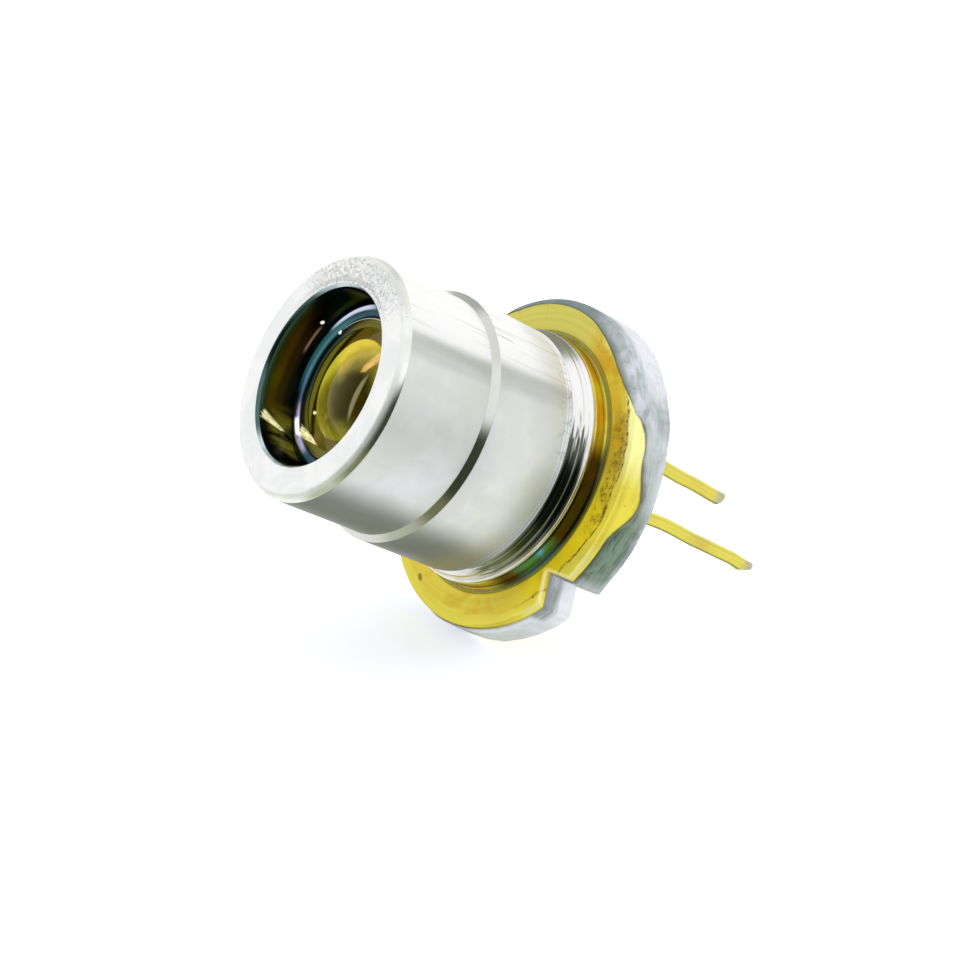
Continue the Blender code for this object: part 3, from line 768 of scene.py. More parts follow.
class DIODE_OT_barrel(bpy.types.Operator):
    """Turn the barrel with its flange, grooves, step, chamfers, bore and lens seat"""

    bl_idname = "diode.barrel"
    bl_label = "Barrel"

    def execute(self, context):
        settings = context.scene.diode_barrel
        bm = spun(self.profile(), settings.facets)
        edge = settings.edge / MM
        bevel_rings(
            bm,
            (
                (FLANGE_RADIUS, FLANGE_TOP, edge),
                (REAR_RADIUS, REAR_BOTTOM, edge),
                (REAR_RADIUS, STEP_BOTTOM, edge),
                (FRONT_RADIUS, STEP_TOP, edge),
                (FRONT_RADIUS, CHAMFER_BOTTOM, edge),
                (CHAMFER_RADIUS, BARREL_FRONT, LAND_ROUNDING),
                (MOUTH_RADIUS + MOUTH_CHAMFER, BARREL_FRONT, edge),
                (MOUTH_RADIUS, BARREL_FRONT - MOUTH_CHAMFER, edge),
                (CREST_RADIUS, CREST_HEIGHT, 2 * edge),
                (APERTURE_RADIUS, APERTURE_TOP, edge / 2),
            ),
        )
        step = turned_metal("polished step", (0.80, 0.81, 0.77), (0.70, 0.71, 0.66), 0.13, 16.0, 0.001, 0.0)
        finishes = {
            "wall": self.walls(settings),
            "step": step,
            "land": self.land(),
            "bore": self.bore(),
            "ledge": self.ledge(),
            "cavity": self.cavity(),
            "mouth chamfer": self.mouth_chamfer(),
            "front chamfer": self.front_chamfer(),
            "foot": self.foot(),
        }
        zones = list(finishes)
        for face in bm.faces:
            centre = face.calc_center_median()
            face.material_index = zones.index(self.zone(centre.xy.length, centre.z))
        finish_piece("barrel", bm, finishes.values(), "lens_barrel", sharp=50)
        return {"FINISHED"}

    def profile(self):
        points = [(FLANGE_RADIUS - FLANGE_BEVEL, BARREL_BACK), (FLANGE_RADIUS, BARREL_BACK + FLANGE_BEVEL)]
        points += [(FLANGE_RADIUS, FLANGE_TOP), (FLARE_FOOT_RADIUS, FLARE_FOOT)]
        slope = (FLARE_RADIUS - FLARE_FOOT_RADIUS) / (FLARE_TOP - FLARE_FOOT)
        for height, swell in FLARE_RIDGES:
            for rise, out in ((-RIDGE_HALF_WIDTH, 0.0), (0.0, swell), (RIDGE_HALF_WIDTH, 0.0)):
                radius = FLARE_FOOT_RADIUS + slope * (height + rise - FLARE_FOOT) + out
                points.append((radius, height + rise))
        points += [(FLARE_RADIUS, FLARE_TOP), (GROOVE_RADIUS, GROOVE_BOTTOM)]
        points += [(GROOVE_RADIUS, GROOVE_TOP), (REAR_RADIUS, REAR_BOTTOM)]
        for height, depth in TURNED_LINES:
            points.append((REAR_RADIUS, height - LINE_HALF_WIDTH))
            points.append((REAR_RADIUS - depth, height))
            points.append((REAR_RADIUS, height + LINE_HALF_WIDTH))
        return points + [
            (REAR_RADIUS, STEP_BOTTOM),
            (FRONT_RADIUS, STEP_TOP),
            (FRONT_RADIUS, CHAMFER_BOTTOM),
            (CHAMFER_RADIUS, BARREL_FRONT),
            (MOUTH_RADIUS + MOUTH_CHAMFER, BARREL_FRONT),
            (MOUTH_RADIUS, BARREL_FRONT - MOUTH_CHAMFER),
            (MOUTH_RADIUS, LEDGE),
            (CREST_RADIUS, CREST_HEIGHT),
            (RING_RADIUS + RING_GROOVE, RING_HEIGHT - RING_GROOVE),
            (RING_RADIUS, LEDGE),
            (RING_RADIUS - RING_GROOVE, LEDGE),
            (RING_RADIUS - 2 * RING_GROOVE, RING_HEIGHT),
            (APERTURE_RADIUS, APERTURE_TOP),
            (APERTURE_RADIUS, LIP),
            (SEAT_RADIUS, LIP),
            (SEAT_RADIUS, SHOULDER),
            (SHOULDER_RADIUS, SHOULDER),
            (CAVITY_RADIUS, SHOULDER - CAVITY_CHAMFER),
            (CAVITY_RADIUS, BARREL_BACK),
        ]

    def zone(self, radius, height):
        """The name of a face's finish, from the radius and height of its middle."""
        if radius > CHAMFER_RADIUS and height > CHAMFER_BOTTOM:
            return "front chamfer"
        if radius > GROOVE_RADIUS - 0.1 or (radius > CHAMFER_RADIUS and height > STEP_TOP):
            if STEP_BOTTOM < height < STEP_TOP:
                return "step"
            return "foot" if height < REAR_BOTTOM - 0.01 else "wall"
        if height > BARREL_FRONT - TOLERANCE * 10 or radius > CHAMFER_RADIUS - LAND_ROUNDING - 0.01:
            return "land"
        if height > BARREL_FRONT - MOUTH_CHAMFER - 0.01:
            return "mouth chamfer"
        if radius > MOUTH_RADIUS - 0.02 and height > LEDGE:
            return "bore"
        return "ledge" if height > LIP - TOLERANCE else "cavity"

    def walls(self, settings):
        """Turned steel: soft clouds, faint lines along the axis and scratches, with a painted highlight
        along the top, a painted shade line beside it, painted shade underneath and at the rear end, and
        painted glints.
        """
        finish = Finish("turned steel")
        place = finish.place
        fine = place.rings(7.0)[1]
        height = place.height()
        clouds = place.mottle(1.5, 0.36, 0.68).remap(0.0, 1.0, 0.47, 0.52)
        drawn = place.noise(1.0, 4.0, (1.6, 1.6, 0.16))
        steel = blend(place.mottle(0.42, 0.36, 0.64), settings.steel, settings.dull)
        inputs = {"Vector": place, "Angle": height * 0.018}
        leaned = node(place.tree, "ShaderNodeVectorRotate", inputs, rotation_type="Z_AXIS")
        # Painted shade line along the barrel: sharp on one side, fading on the other.
        painted_shade_line = leaned.beside(-12, 3, 16).larger(leaned.beside(-12, 3, 44) * 0.35)
        painted_shade_line = painted_shade_line * drawn.remap(0.35, 0.65, 0.6, 1.0)
        lines = place.noise(1.0, 2.0, (7.0, 7.0, 0.25)).remap(0.54, 0.64)
        scratch = place.mark((3.34, -0.12, 4.46), (0.3, 0.020, 0.42), (0.06, 0.0, 0.0))
        worn = place.stretched((1.0, 1.0, 0.35)).scratches(2.6, 0.03, 0.55)
        worn = place.facing(-20, 14, 34) * height.ease(2.9, 2.3) * worn
        # Painted glints: two small bright spots.
        painted_glint = place.mark((1.90, -2.75, 1.92), (0.05, 0.05, 0.05))
        painted_glints = painted_glint.larger(place.mark((3.00, -1.05, 4.05), (0.06, 0.06, 0.06)))
        steel = layered(
            toned(steel, clouds + drawn.remap(0.35, 0.65, 0.44, 0.48)),
            # Painted highlight along the top.
            (leaned.facing(18, 26, 34), (1.0, 1.0, 0.99)),
            # The painted shade line.
            (painted_shade_line * 0.7, (0.42, 0.43, 0.39)),
            (place.facing(4, 14, 34) * lines * 0.35, (0.52, 0.53, 0.50)),
            # Painted shade underneath.
            (place.facing(-125, 14, 36) * 0.8, (0.17, 0.18, 0.13)),
            (height.ease(3.6, 2.5) * place.facing(-60, 20, 50) * 0.7, (0.88, 0.95, 1.0)),
            # Painted shade at the top of the rear end.
            (height.ease(3.6, 2.8) * place.facing(38, 8, 14) * 0.75, (0.30, 0.31, 0.27)),
            # Painted shade at the bottom of the rear end.
            (height.ease(3.4, 2.4) * place.facing(-88, 20, 44) * 0.55, (0.34, 0.36, 0.28)),
            ((scratch * 0.75).larger(worn * 0.45), (0.20, 0.21, 0.19)),
            # The painted glints.
            (painted_glints, (0.95, 0.95, 0.93)),
        )
        return finish.feed(
            Base_Color=steel,
            Roughness=fine.spread(settings.roughness * 0.9, settings.roughness * 1.1),
            Normal=fine.bump(0.0004),
            Metallic=height.ease(2.4, 3.6, 0.25, 0.50),
        )

    def mouth_chamfer(self):
        """The chamfer at the bore's mouth: tempered, with a painted dark teal reflection on the side
        towards +Y.
        """
        finish = Finish("mouth chamfer")
        place = finish.place
        fine = place.rings(12.0)[1]
        tempered = blend(place.mottle(1.6), (0.60, 0.72, 0.72), (0.40, 0.50, 0.52))
        return finish.feed(
            # Painted dark teal reflection on the side towards +Y.
            Base_Color=blend(place.facing(125, 46, 62), tempered, (0.085, 0.15, 0.145)),
            Roughness=fine.spread(0.12, 0.18),
            Normal=fine.bump(0.002),
            Metallic=1.0,
        )

    def front_chamfer(self):
        """The front chamfer: rubbed matt at the land and polished at the wall, with turning lines over
        painted shade on one side.
        """
        finish = Finish("front chamfer")
        place = finish.place
        rings, fine = place.rings(10.0)
        specks = place.pits(9.0, 0.22, 0.30) * place.facing(10, 14, 40)
        # Turning lines over painted shade on one side.
        grooves = rings.remap(0.40, 0.55) * place.facing(34, 26, 52)
        distance = place.axis_distance()
        inner = CHAMFER_RADIUS + 0.02
        outer = FRONT_RADIUS - 0.03
        matter = place.facing(14, 36, 54).remap(0.0, 1.0, 1.0, 0.35)
        return finish.feed(
            Base_Color=layered(
                blend(place.mottle(1.2), (0.98, 0.99, 0.95), (0.88, 0.90, 0.82)),
                (specks * 0.8, (0.22, 0.22, 0.20)),
                (grooves * 0.55, (0.46, 0.47, 0.46)),
            ),
            Roughness=distance.ease(inner, outer, 0.42, 0.17),
            Normal=fine.bump(0.001),
            Metallic=distance.ease(inner, outer, 0.45, 1.0) * matter,
        )

    def foot(self):
        """The groove and the flare behind the wall: polished, with painted shade on the top, a painted
        highlight at the rear, and a band of painted dark reflection towards the notch, lighter at the
        ridges.
        """
        finish = Finish("barrel foot")
        place = finish.place
        fine = place.rings(18.0)[1]
        height = place.height()
        # A band of painted dark reflection towards the notch, with a ragged edge and lighter lines at the
        # ridges.
        hairs = place.noise(1.0, 2.0, (1.2, 1.2, 22.0)).remap(0.35, 0.65, 0.0, 0.55)
        reach = (place.facing(-72, 16, 58) - hairs).ease(0.05, 0.40)
        inside = height.remap(FLARE_FOOT + 0.02, FLARE_FOOT + 0.06)
        inside = inside * height.remap(REAR_BOTTOM + 0.01, REAR_BOTTOM - 0.02)
        lines = height.band(1.90, 0.006, 0.012).larger(height.band(2.04, 0.004, 0.012))
        olive = blend(place.facing(-58, 18, 40), (0.20, 0.22, 0.12), (0.035, 0.050, 0.032))
        # Painted highlight at the rear, where the metal is also made less metallic.
        painted_highlight = place.facing(-14, 10, 26)
        return finish.feed(
            Base_Color=layered(
                blend(place.mottle(1.4), (0.84, 0.85, 0.82), (0.72, 0.74, 0.68)),
                # Painted shade on the top.
                (place.facing(56, 34, 56) * 0.8, (0.30, 0.31, 0.28)),
                (painted_highlight, WHITE),
                (reach * inside * (1.0 - lines * 0.55) * 0.93, olive),
            ),
            Roughness=fine.spread(0.12, 0.20),
            Normal=fine.bump(0.001),
            Metallic=painted_highlight.remap(0.0, 1.0, 1.0, 0.4),
        )

    def land(self):
        """The front land: pale, with a rubbed and pitted arc on the side towards +X."""
        finish = Finish("front land")
        place = finish.place
        rings, fine = place.rings(9.0)
        rubbed = place.facing(36, 18, 56)
        chafed = rubbed * place.noise(11.0, 6.0, roughness=0.7).remap(0.50, 0.62)
        inner = place.axis_distance().ease(MOUTH_RADIUS + 0.42, MOUTH_RADIUS + 0.12)
        arcs = rings.remap(0.52, 0.60) * inner * place.facing(44, 26, 60)
        return finish.feed(
            Base_Color=layered(
                blend(place.mottle(1.1), (0.98, 0.98, 0.97), (0.90, 0.92, 0.91)),
                (chafed * 0.6, (0.50, 0.50, 0.48)),
                (place.pits(13.0, 0.30, 0.50) * rubbed * 0.8, (0.16, 0.17, 0.15)),
                (arcs * 0.5, (0.52, 0.53, 0.52)),
                (place.scratches(1.9, 0.02, 0.6) * rubbed * 0.2, (0.38, 0.38, 0.36)),
            ),
            Roughness=fine.spread(0.34, 0.46),
            Normal=(fine - chafed * 3.0).bump(0.003),
            Metallic=0.9,
        )

    def bore(self):
        """The dark bore: brown in its middle, teal near the mouth, clouded olive, with painted dark
        reflections on three sides, painted shade next to the ledge, and painted glows, glints and
        reflections.
        """
        finish = Finish("bore wall")
        place = finish.place
        rings, fine = place.rings(8.0)
        depth = place.height()
        colour = layered(
            blend(place.mottle(0.7, 0.42, 0.60), (0.080, 0.053, 0.015), (0.10, 0.085, 0.014)),
            # Painted dark reflections on three sides.
            (place.facing(105, 14, 36), (0.055, 0.030, 0.014)),
            (place.facing(-165, 12, 32), (0.020, 0.030, 0.034)),
            (place.facing(52, 22, 44), (0.020, 0.028, 0.012)),
            (depth.ease(BARREL_FRONT - 0.36, BARREL_FRONT - 0.16), (0.035, 0.060, 0.105)),
            # Painted shade next to the ledge.
            (depth.ease(LEDGE, LEDGE + 0.25, 1.0, 0.0) * 0.8, (0.02, 0.03, 0.03)),
        )
        streaks = place.noise(1.0, 4.0, (3.0, 3.0, 1.3), distortion=0.6)
        low = place.facing(174, 4, 24) * streaks.remap(0.40, 0.66)
        wedge = place.spike((-2.195, 0.675, 7.52), (-2.262, 0.375, 6.86), (-1.0, 0.23, 0.0), 0.17, 0.25)
        trail = depth.band(6.855, 0.015, 0.045) * place.facing(105, 5, 12)
        return finish.feed(
            Base_Color=toned(colour, rings.spread(0.75, 1.0)),
            # Painted light: glows near the mouth, streaky reflections low on the wall, a bright wedge, its
            # trail and a glint.
            Emission_Color=layered(
                BLACK,
                (place.facing(138, 16, 46) * depth.band(7.12, 0.10, 0.30), (0.012, 0.008, 0.001)),
                (place.facing(122, 30, 50) * depth.ease(7.50, 7.62), (0.014, 0.042, 0.034)),
                (low * depth.ease(7.52, 7.10) * 0.5, (0.22, 0.20, 0.018)),
                (wedge * place.facing(167, 14, 20), (0.95, 0.90, 0.48)),
                (trail * 0.8, (0.20, 0.11, 0.06)),
                (place.mark((-0.07, 2.292, 6.924), (0.07, 0.07, 0.07)), (1.0, 0.95, 0.85)),
            ),
            Roughness=fine.spread(0.10, 0.18),
            Normal=fine.bump(0.002),
            Metallic=1.0,
            Specular_Tint=(0.50, 0.48, 0.40),
        )

    def ledge(self):
        """The tempered ledge round the lens: dark teal with a paler inner band, lilac on one side and olive
        within, with painted highlights, glints and a teal glow.
        """
        finish = Finish("lens ledge")
        place = finish.place
        rings, fine = place.rings(14.0)
        radius = place.axis_distance()
        paler = radius.band(2.02, 0.04, 0.07)
        olive = blend(place.facing(110, 24, 50), (0.17, 0.15, 0.020), (0.055, 0.10, 0.075))
        colour = layered(
            blend(place.mottle(1.0), (0.050, 0.15, 0.17), (0.025, 0.075, 0.12)),
            (paler * 0.8, (0.040, 0.095, 0.12)),
            (paler * place.facing(146, 14, 34), (0.070, 0.12, 0.25)),
            (paler * place.facing(172, 14, 26), (0.48, 0.44, 0.72)),
            (radius.ease(1.92, 1.84), olive),
        )
        # A painted glint shaped as a wedge.
        painted_glint_wedge = place.spike((-1.90, 0.22, 6.65), (-1.48, -0.62, 6.65), (0.0, 0.0, 1.0), 0.16, 0.2)
        return finish.feed(
            Base_Color=toned(colour, rings.spread(0.80, 1.0)),
            # Painted light: a teal glow, highlights along the bands, a glint, a white stripe and the wedge.
            Emission_Color=layered(
                BLACK,
                (radius.band(1.98, 0.10, 0.10) * place.facing(104, 14, 40), (0.020, 0.085, 0.085)),
                (radius.band(2.14, 0.03, 0.06) * place.facing(66, 10, 28), (0.60, 0.68, 0.84)),
                (radius.band(1.84, 0.004, 0.014) * place.facing(55, 18, 30) * 0.7, (0.50, 0.48, 0.42)),
                (place.mark((0.197, 1.829, 6.68), (0.075, 0.075, 0.3)), (0.95, 0.95, 0.90)),
                (radius.band(2.02, 0.03, 0.05) * place.facing(168, 4, 9), (0.92, 0.92, 0.95)),
                (painted_glint_wedge, (0.92, 0.88, 0.46)),
            ),
            Roughness=fine.spread(0.10, 0.18),
            Normal=fine.bump(0.002),
            Metallic=1.0,
        )

    def cavity(self):
        """The gilt cavity behind the lens, with a painted glow that stands for the light caught in it."""
        finish = Finish("gilt cavity")
        place = finish.place
        fine = place.rings(5.0)[1]
        depth = place.height()
        cloud = place.noise(0.9, 3.0).remap(0.35, 0.65)
        return finish.feed(
            Base_Color=blend(place.mottle(0.5, 0.40, 0.60), (0.24, 0.18, 0.022), (0.15, 0.10, 0.010)),
            # Painted glow, brighter at the shoulder and dimmer in one patch.
            Emission_Color=layered(
                blend(cloud, (0.070, 0.055, 0.004), (0.125, 0.110, 0.010)),
                (depth.band(2.95, 0.20, 0.50) * place.facing(131, 9, 24), (0.022, 0.021, 0.001)),
                (depth.remap(SHOULDER - 0.1, SHOULDER), (0.13, 0.12, 0.008)),
            ),
            Roughness=fine.spread(0.34, 0.46),
            Normal=fine.bump(0.003),
            Metallic=1.0,
        )


def rim_radius(angle, offset):
    """The stem's outline at an angle, moved outwards by an offset: a circle cut by the straight V notch."""
    away = abs(math.remainder(angle + math.pi / 2, math.tau))
    radius = STEM_RADIUS + offset
    if away < NOTCH_HALF_ANGLE:
        apex = STEM_RADIUS - NOTCH_DEPTH + offset / math.sin(NOTCH_HALF_ANGLE)
        radius = min(radius, apex * math.sin(NOTCH_HALF_ANGLE) / math.sin(NOTCH_HALF_ANGLE - away))
    return radius


def rim_angle(vert, facets):
    """A vertex's angle about the axis, moved to the notch's lip where it is the nearest of a ring."""
    lip = NOTCH_HALF_ANGLE - math.asin((1 - NOTCH_DEPTH / STEM_RADIUS) * math.sin(NOTCH_HALF_ANGLE))
    angle = math.atan2(vert.co.y, vert.co.x)
    away = math.remainder(angle + math.pi / 2, math.tau)
    if abs(abs(away) - lip) <= math.pi / facets:
        angle = -math.pi / 2 + math.copysign(lip, away)
    return angle


def notched_disc(facets, gap=0.0):
    """The stem's disc, grown all round by a gap."""
    bm = bmesh.new()
    bmesh.ops.create_circle(bm, cap_ends=True, segments=facets, radius=STEM_RADIUS)
    for vert in bm.verts:
        angle = rim_angle(vert, facets)
        radius = rim_radius(angle, gap)
        vert.co = (radius * math.cos(angle), radius * math.sin(angle), -gap)
    grown = bmesh.ops.extrude_face_region(bm, geom=list(bm.faces))
    raised = [part for part in grown["geom"] if isinstance(part, bmesh.types.BMVert)]
    bmesh.ops.translate(bm, vec=(0, 0, STEM_THICKNESS + 2 * gap), verts=raised)
    bmesh.ops.recalc_face_normals(bm, faces=bm.faces)
    for height, width in ((STEM_THICKNESS + gap, STEM_FRONT_BEVEL), (-gap, STEM_BACK_BEVEL)):
        loop = [edge for edge in bm.edges if all(abs(v.co.z - height) < TOLERANCE for v in edge.verts)]
        bevel_edges(bm, loop, width, STEM_BEVEL_SEGMENTS)
    return bm


def turned_boss(facets, gap=0.0):
    """The boss and the fillet at its foot, rooted in the disc and grown all round by a gap."""
    points = [(0.0, STEM_THICKNESS / 2), (BOSS_FOOT, STEM_THICKNESS / 2)]
    reach = BOSS_FILLET - gap
    for step in range(FILLET_STEPS + 1):
        turn = math.pi * (1.5 - 0.5 * step / FILLET_STEPS)
        height = STEM_THICKNESS + BOSS_FILLET + reach * math.sin(turn)
        points.append((BOSS_FOOT + reach * math.cos(turn), height))
    points += [
        (BOSS_RADIUS + gap, BOSS_TOP - BOSS_EDGE),
        (BOSS_RADIUS - BOSS_EDGE, BOSS_TOP + gap),
        (0.0, BOSS_TOP + gap),
    ]
    return spun(points, facets, closed=False)


class DIODE_OT_stem(bpy.types.Operator):
    """Make the notched gilt stem with its boss and the holes for the leads"""

    bl_idname = "diode.stem"
    bl_label = "Stem"

    def execute(self, context):
        settings = context.scene.diode_stem
        holes = []
        for root in LEAD_ROOTS.values():
            hole = bmesh.new()
            bmesh.ops.create_cone(
                hole, cap_ends=True, segments=HOLE_FACETS, radius1=SEAL_RADIUS, radius2=SEAL_RADIUS,
                depth=HOLE_DEPTH,
            )
            bmesh.ops.translate(hole, vec=root, verts=hole.verts)
            holes.append((hole, "DIFFERENCE"))
        facets = settings.facets
        bm = cut(notched_disc(facets), "stem", [(turned_boss(facets), "UNION"), *holes])
        for face in bm.faces:
            centre = face.calc_center_median()
            on_boss = centre.z > STEM_THICKNESS + 0.004 and centre.xy.length < STEM_RADIUS - 0.3
            face.material_index = 1 if on_boss else 0
        materials = (self.plating(settings), self.boss_wall(settings))
        finish_piece("stem_gilt", bm, materials, "stem", sharp=40)
        return {"FINISHED"}

    def boss_wall(self, settings):
        """The boss: gold, with a painted dark reflection towards the notch, a painted cyan glint there and
        painted shade along its foot.
        """
        finish = Finish("gilt boss")
        place = finish.place
        rings, fine = place.rings(16.0)
        patches = place.mottle(1.1)
        foot = place.height().band(STEM_THICKNESS + 0.02, 0.012, 0.03)
        colour = layered(
            blend(patches, settings.gold, (0.86, 0.56, 0.09)),
            # Painted dark reflection towards the notch.
            (
                place.facing(-75, 33, 46) * 0.96,
                blend(patches, (0.045, 0.035, 0.010), (0.11, 0.045, 0.030)),
            ),
            # Painted cyan glint at the notch.
            (place.facing(-90, 5, 15) * rings.remap(0.35, 0.55, 0.5, 1.0), (0.12, 0.42, 0.48)),
            # Painted shade along the foot.
            (foot * 0.75, (0.10, 0.13, 0.030)),
        )
        return finish.feed(
            Base_Color=toned(colour, rings.spread(0.70, 1.0)),
            Roughness=fine.spread(0.14, 0.24),
            Normal=fine.bump(0.002),
            Metallic=0.9,
        )

    def plating(self, settings):
        """Gold plating: pale at the worn rim and amber within, with brown scuffs along a line between, a
        painted deeper amber reflection towards the notch, painted highlights, a painted glow and painted
        shade at the boss's foot.
        """
        finish = Finish("gilt stem")
        place = finish.place
        rings, fine = place.rings(9.0, 0.05)
        patches = place.mottle(0.9, 0.40, 0.66)
        scratches = place.scratches(1.6, 0.012, 0.45)
        distance = place.axis_distance()
        radius = distance + place.noise(0.9, 4.0).spread(-0.10, 0.10)
        rim = radius.ease(WEAR_RADIUS - 0.03, WEAR_RADIUS + 0.06)
        # The side towards the notch, where a deeper amber reflection is painted and the gold is made less
        # metallic.
        painted_amber_side = place.facing(-56, 36, 72)
        # Painted highlight on the pale rim.
        bright = radius.remap(WEAR_RADIUS - 0.10, WEAR_RADIUS + 0.08) * place.facing(-16, 18, 34)
        gold = layered(
            blend(patches, (0.92, 0.76, 0.10), (0.82, 0.54, 0.05)),
            (painted_amber_side, blend(patches, (0.95, 0.73, 0.070), (0.84, 0.52, 0.030))),
            # Painted reflection: deepest amber next to the notch.
            (place.facing(-74, 14, 34), (1.0, 0.76, 0.02)),
            (rim, settings.gold),
            (bright, (1.0, 0.97, 0.36)),
            # Painted shade: duller, greener gold on the side towards +Y.
            (place.facing(62, 30, 56), (0.76, 0.70, 0.16)),
        )
        grit = place.noise(9.0, 6.0, roughness=0.65)
        scuffed = place.facing(-44, 14, 30)
        clumps = place.mottle(2.2, 0.34, 0.50)
        line = radius.band(WEAR_RADIUS, 0.010, 0.040) * grit.remap(0.40, 0.58, 0.25, 1.0)
        line = line * place.facing(-50, 34, 60)
        scuffs = grit.remap(0.48, 0.60, 0.0, 0.8).larger(place.pits(15.0, 0.36, 0.60))
        scuffs = radius.band(WEAR_RADIUS - 0.20, 0.12, 0.16) * scuffed * scuffs * clumps
        spot = place.mark((-0.62, -4.15, 1.15), (0.07, 0.05, 0.2))
        spots = spot.larger(place.mark((-3.97, -0.99, 1.15), (0.09, 0.16, 0.2)))
        brown = line.larger(scuffs * 0.85).larger(spots * 0.8)
        # Painted shade along the boss's foot.
        foot = distance.band(BOSS_FOOT, 0.012, 0.03)
        notch = STEM_RADIUS - NOTCH_DEPTH
        # Painted highlight along the notch's edge.
        edge = place.height().band(STEM_THICKNESS - 0.05, 0.02, 0.03) * place.facing(-87, 12, 20)
        edge = edge * distance.remap(notch - 0.05, notch)
        colour = layered(
            toned(gold, rings.spread(0.88, 1.0)),
            (radius.band(WEAR_RADIUS - 0.22, 0.14, 0.20) * scuffed * clumps * 0.55, (0.50, 0.38, 0.045)),
            (brown, (0.24, 0.14, 0.015)),
            (place.pits(7.0, 0.22, 0.30) * scuffed * 0.6, settings.worn),
            (scratches * 0.3, settings.worn),
            (foot * 0.7, (0.13, 0.17, 0.040)),
            (edge * 0.85, (0.96, 0.90, 0.55)),
        )
        clean = 1.0 - brown.larger(foot)
        # Painted glow towards the notch.
        glow = place.facing(-76, 18, 42) * clean * patches.remap(0.0, 1.0, 1.0, 0.55)
        rough = rim.remap(0.0, 1.0, settings.roughness + 0.10, settings.roughness)
        return finish.feed(
            Base_Color=colour,
            Emission_Color=layered(
                BLACK,
                (glow, (0.20, 0.165, 0.004)),
                (bright * clean, (0.24, 0.26, 0.12)),
            ),
            Roughness=rough.maths("ADD", scratches * 0.2, True),
            Normal=(fine - scratches * 1.5).bump(0.002),
            Metallic=painted_amber_side.remap(0.0, 1.0, 0.62, 0.25),
            Specular_Tint=(0.9, 0.75, 0.15),
            Specular_IOR_Level=0.15,
        )


def hill(angle, centre, spread):
    """A smooth hill round the rim, 1 at its centre and 0 beyond its spread; angles in degrees."""
    away = math.remainder(angle - centre, 360) / spread
    return 0.5 + 0.5 * math.cos(math.pi * away) if abs(away) < 1 else 0.0


def smooth(share):
    share = min(1.0, max(0.0, share))
    return share * share * (3 - 2 * share)


def lap_reach(angle):
    """How far the solder laps inwards over the rim at an angle in degrees."""
    angle = math.remainder(angle, 360)
    for (start, before), (end, after) in zip(SOLDER_LAP_REACH, SOLDER_LAP_REACH[1:]):
        if start < angle <= end:
            return before + (after - before) * (angle - start) / (end - start)
    return 0.0


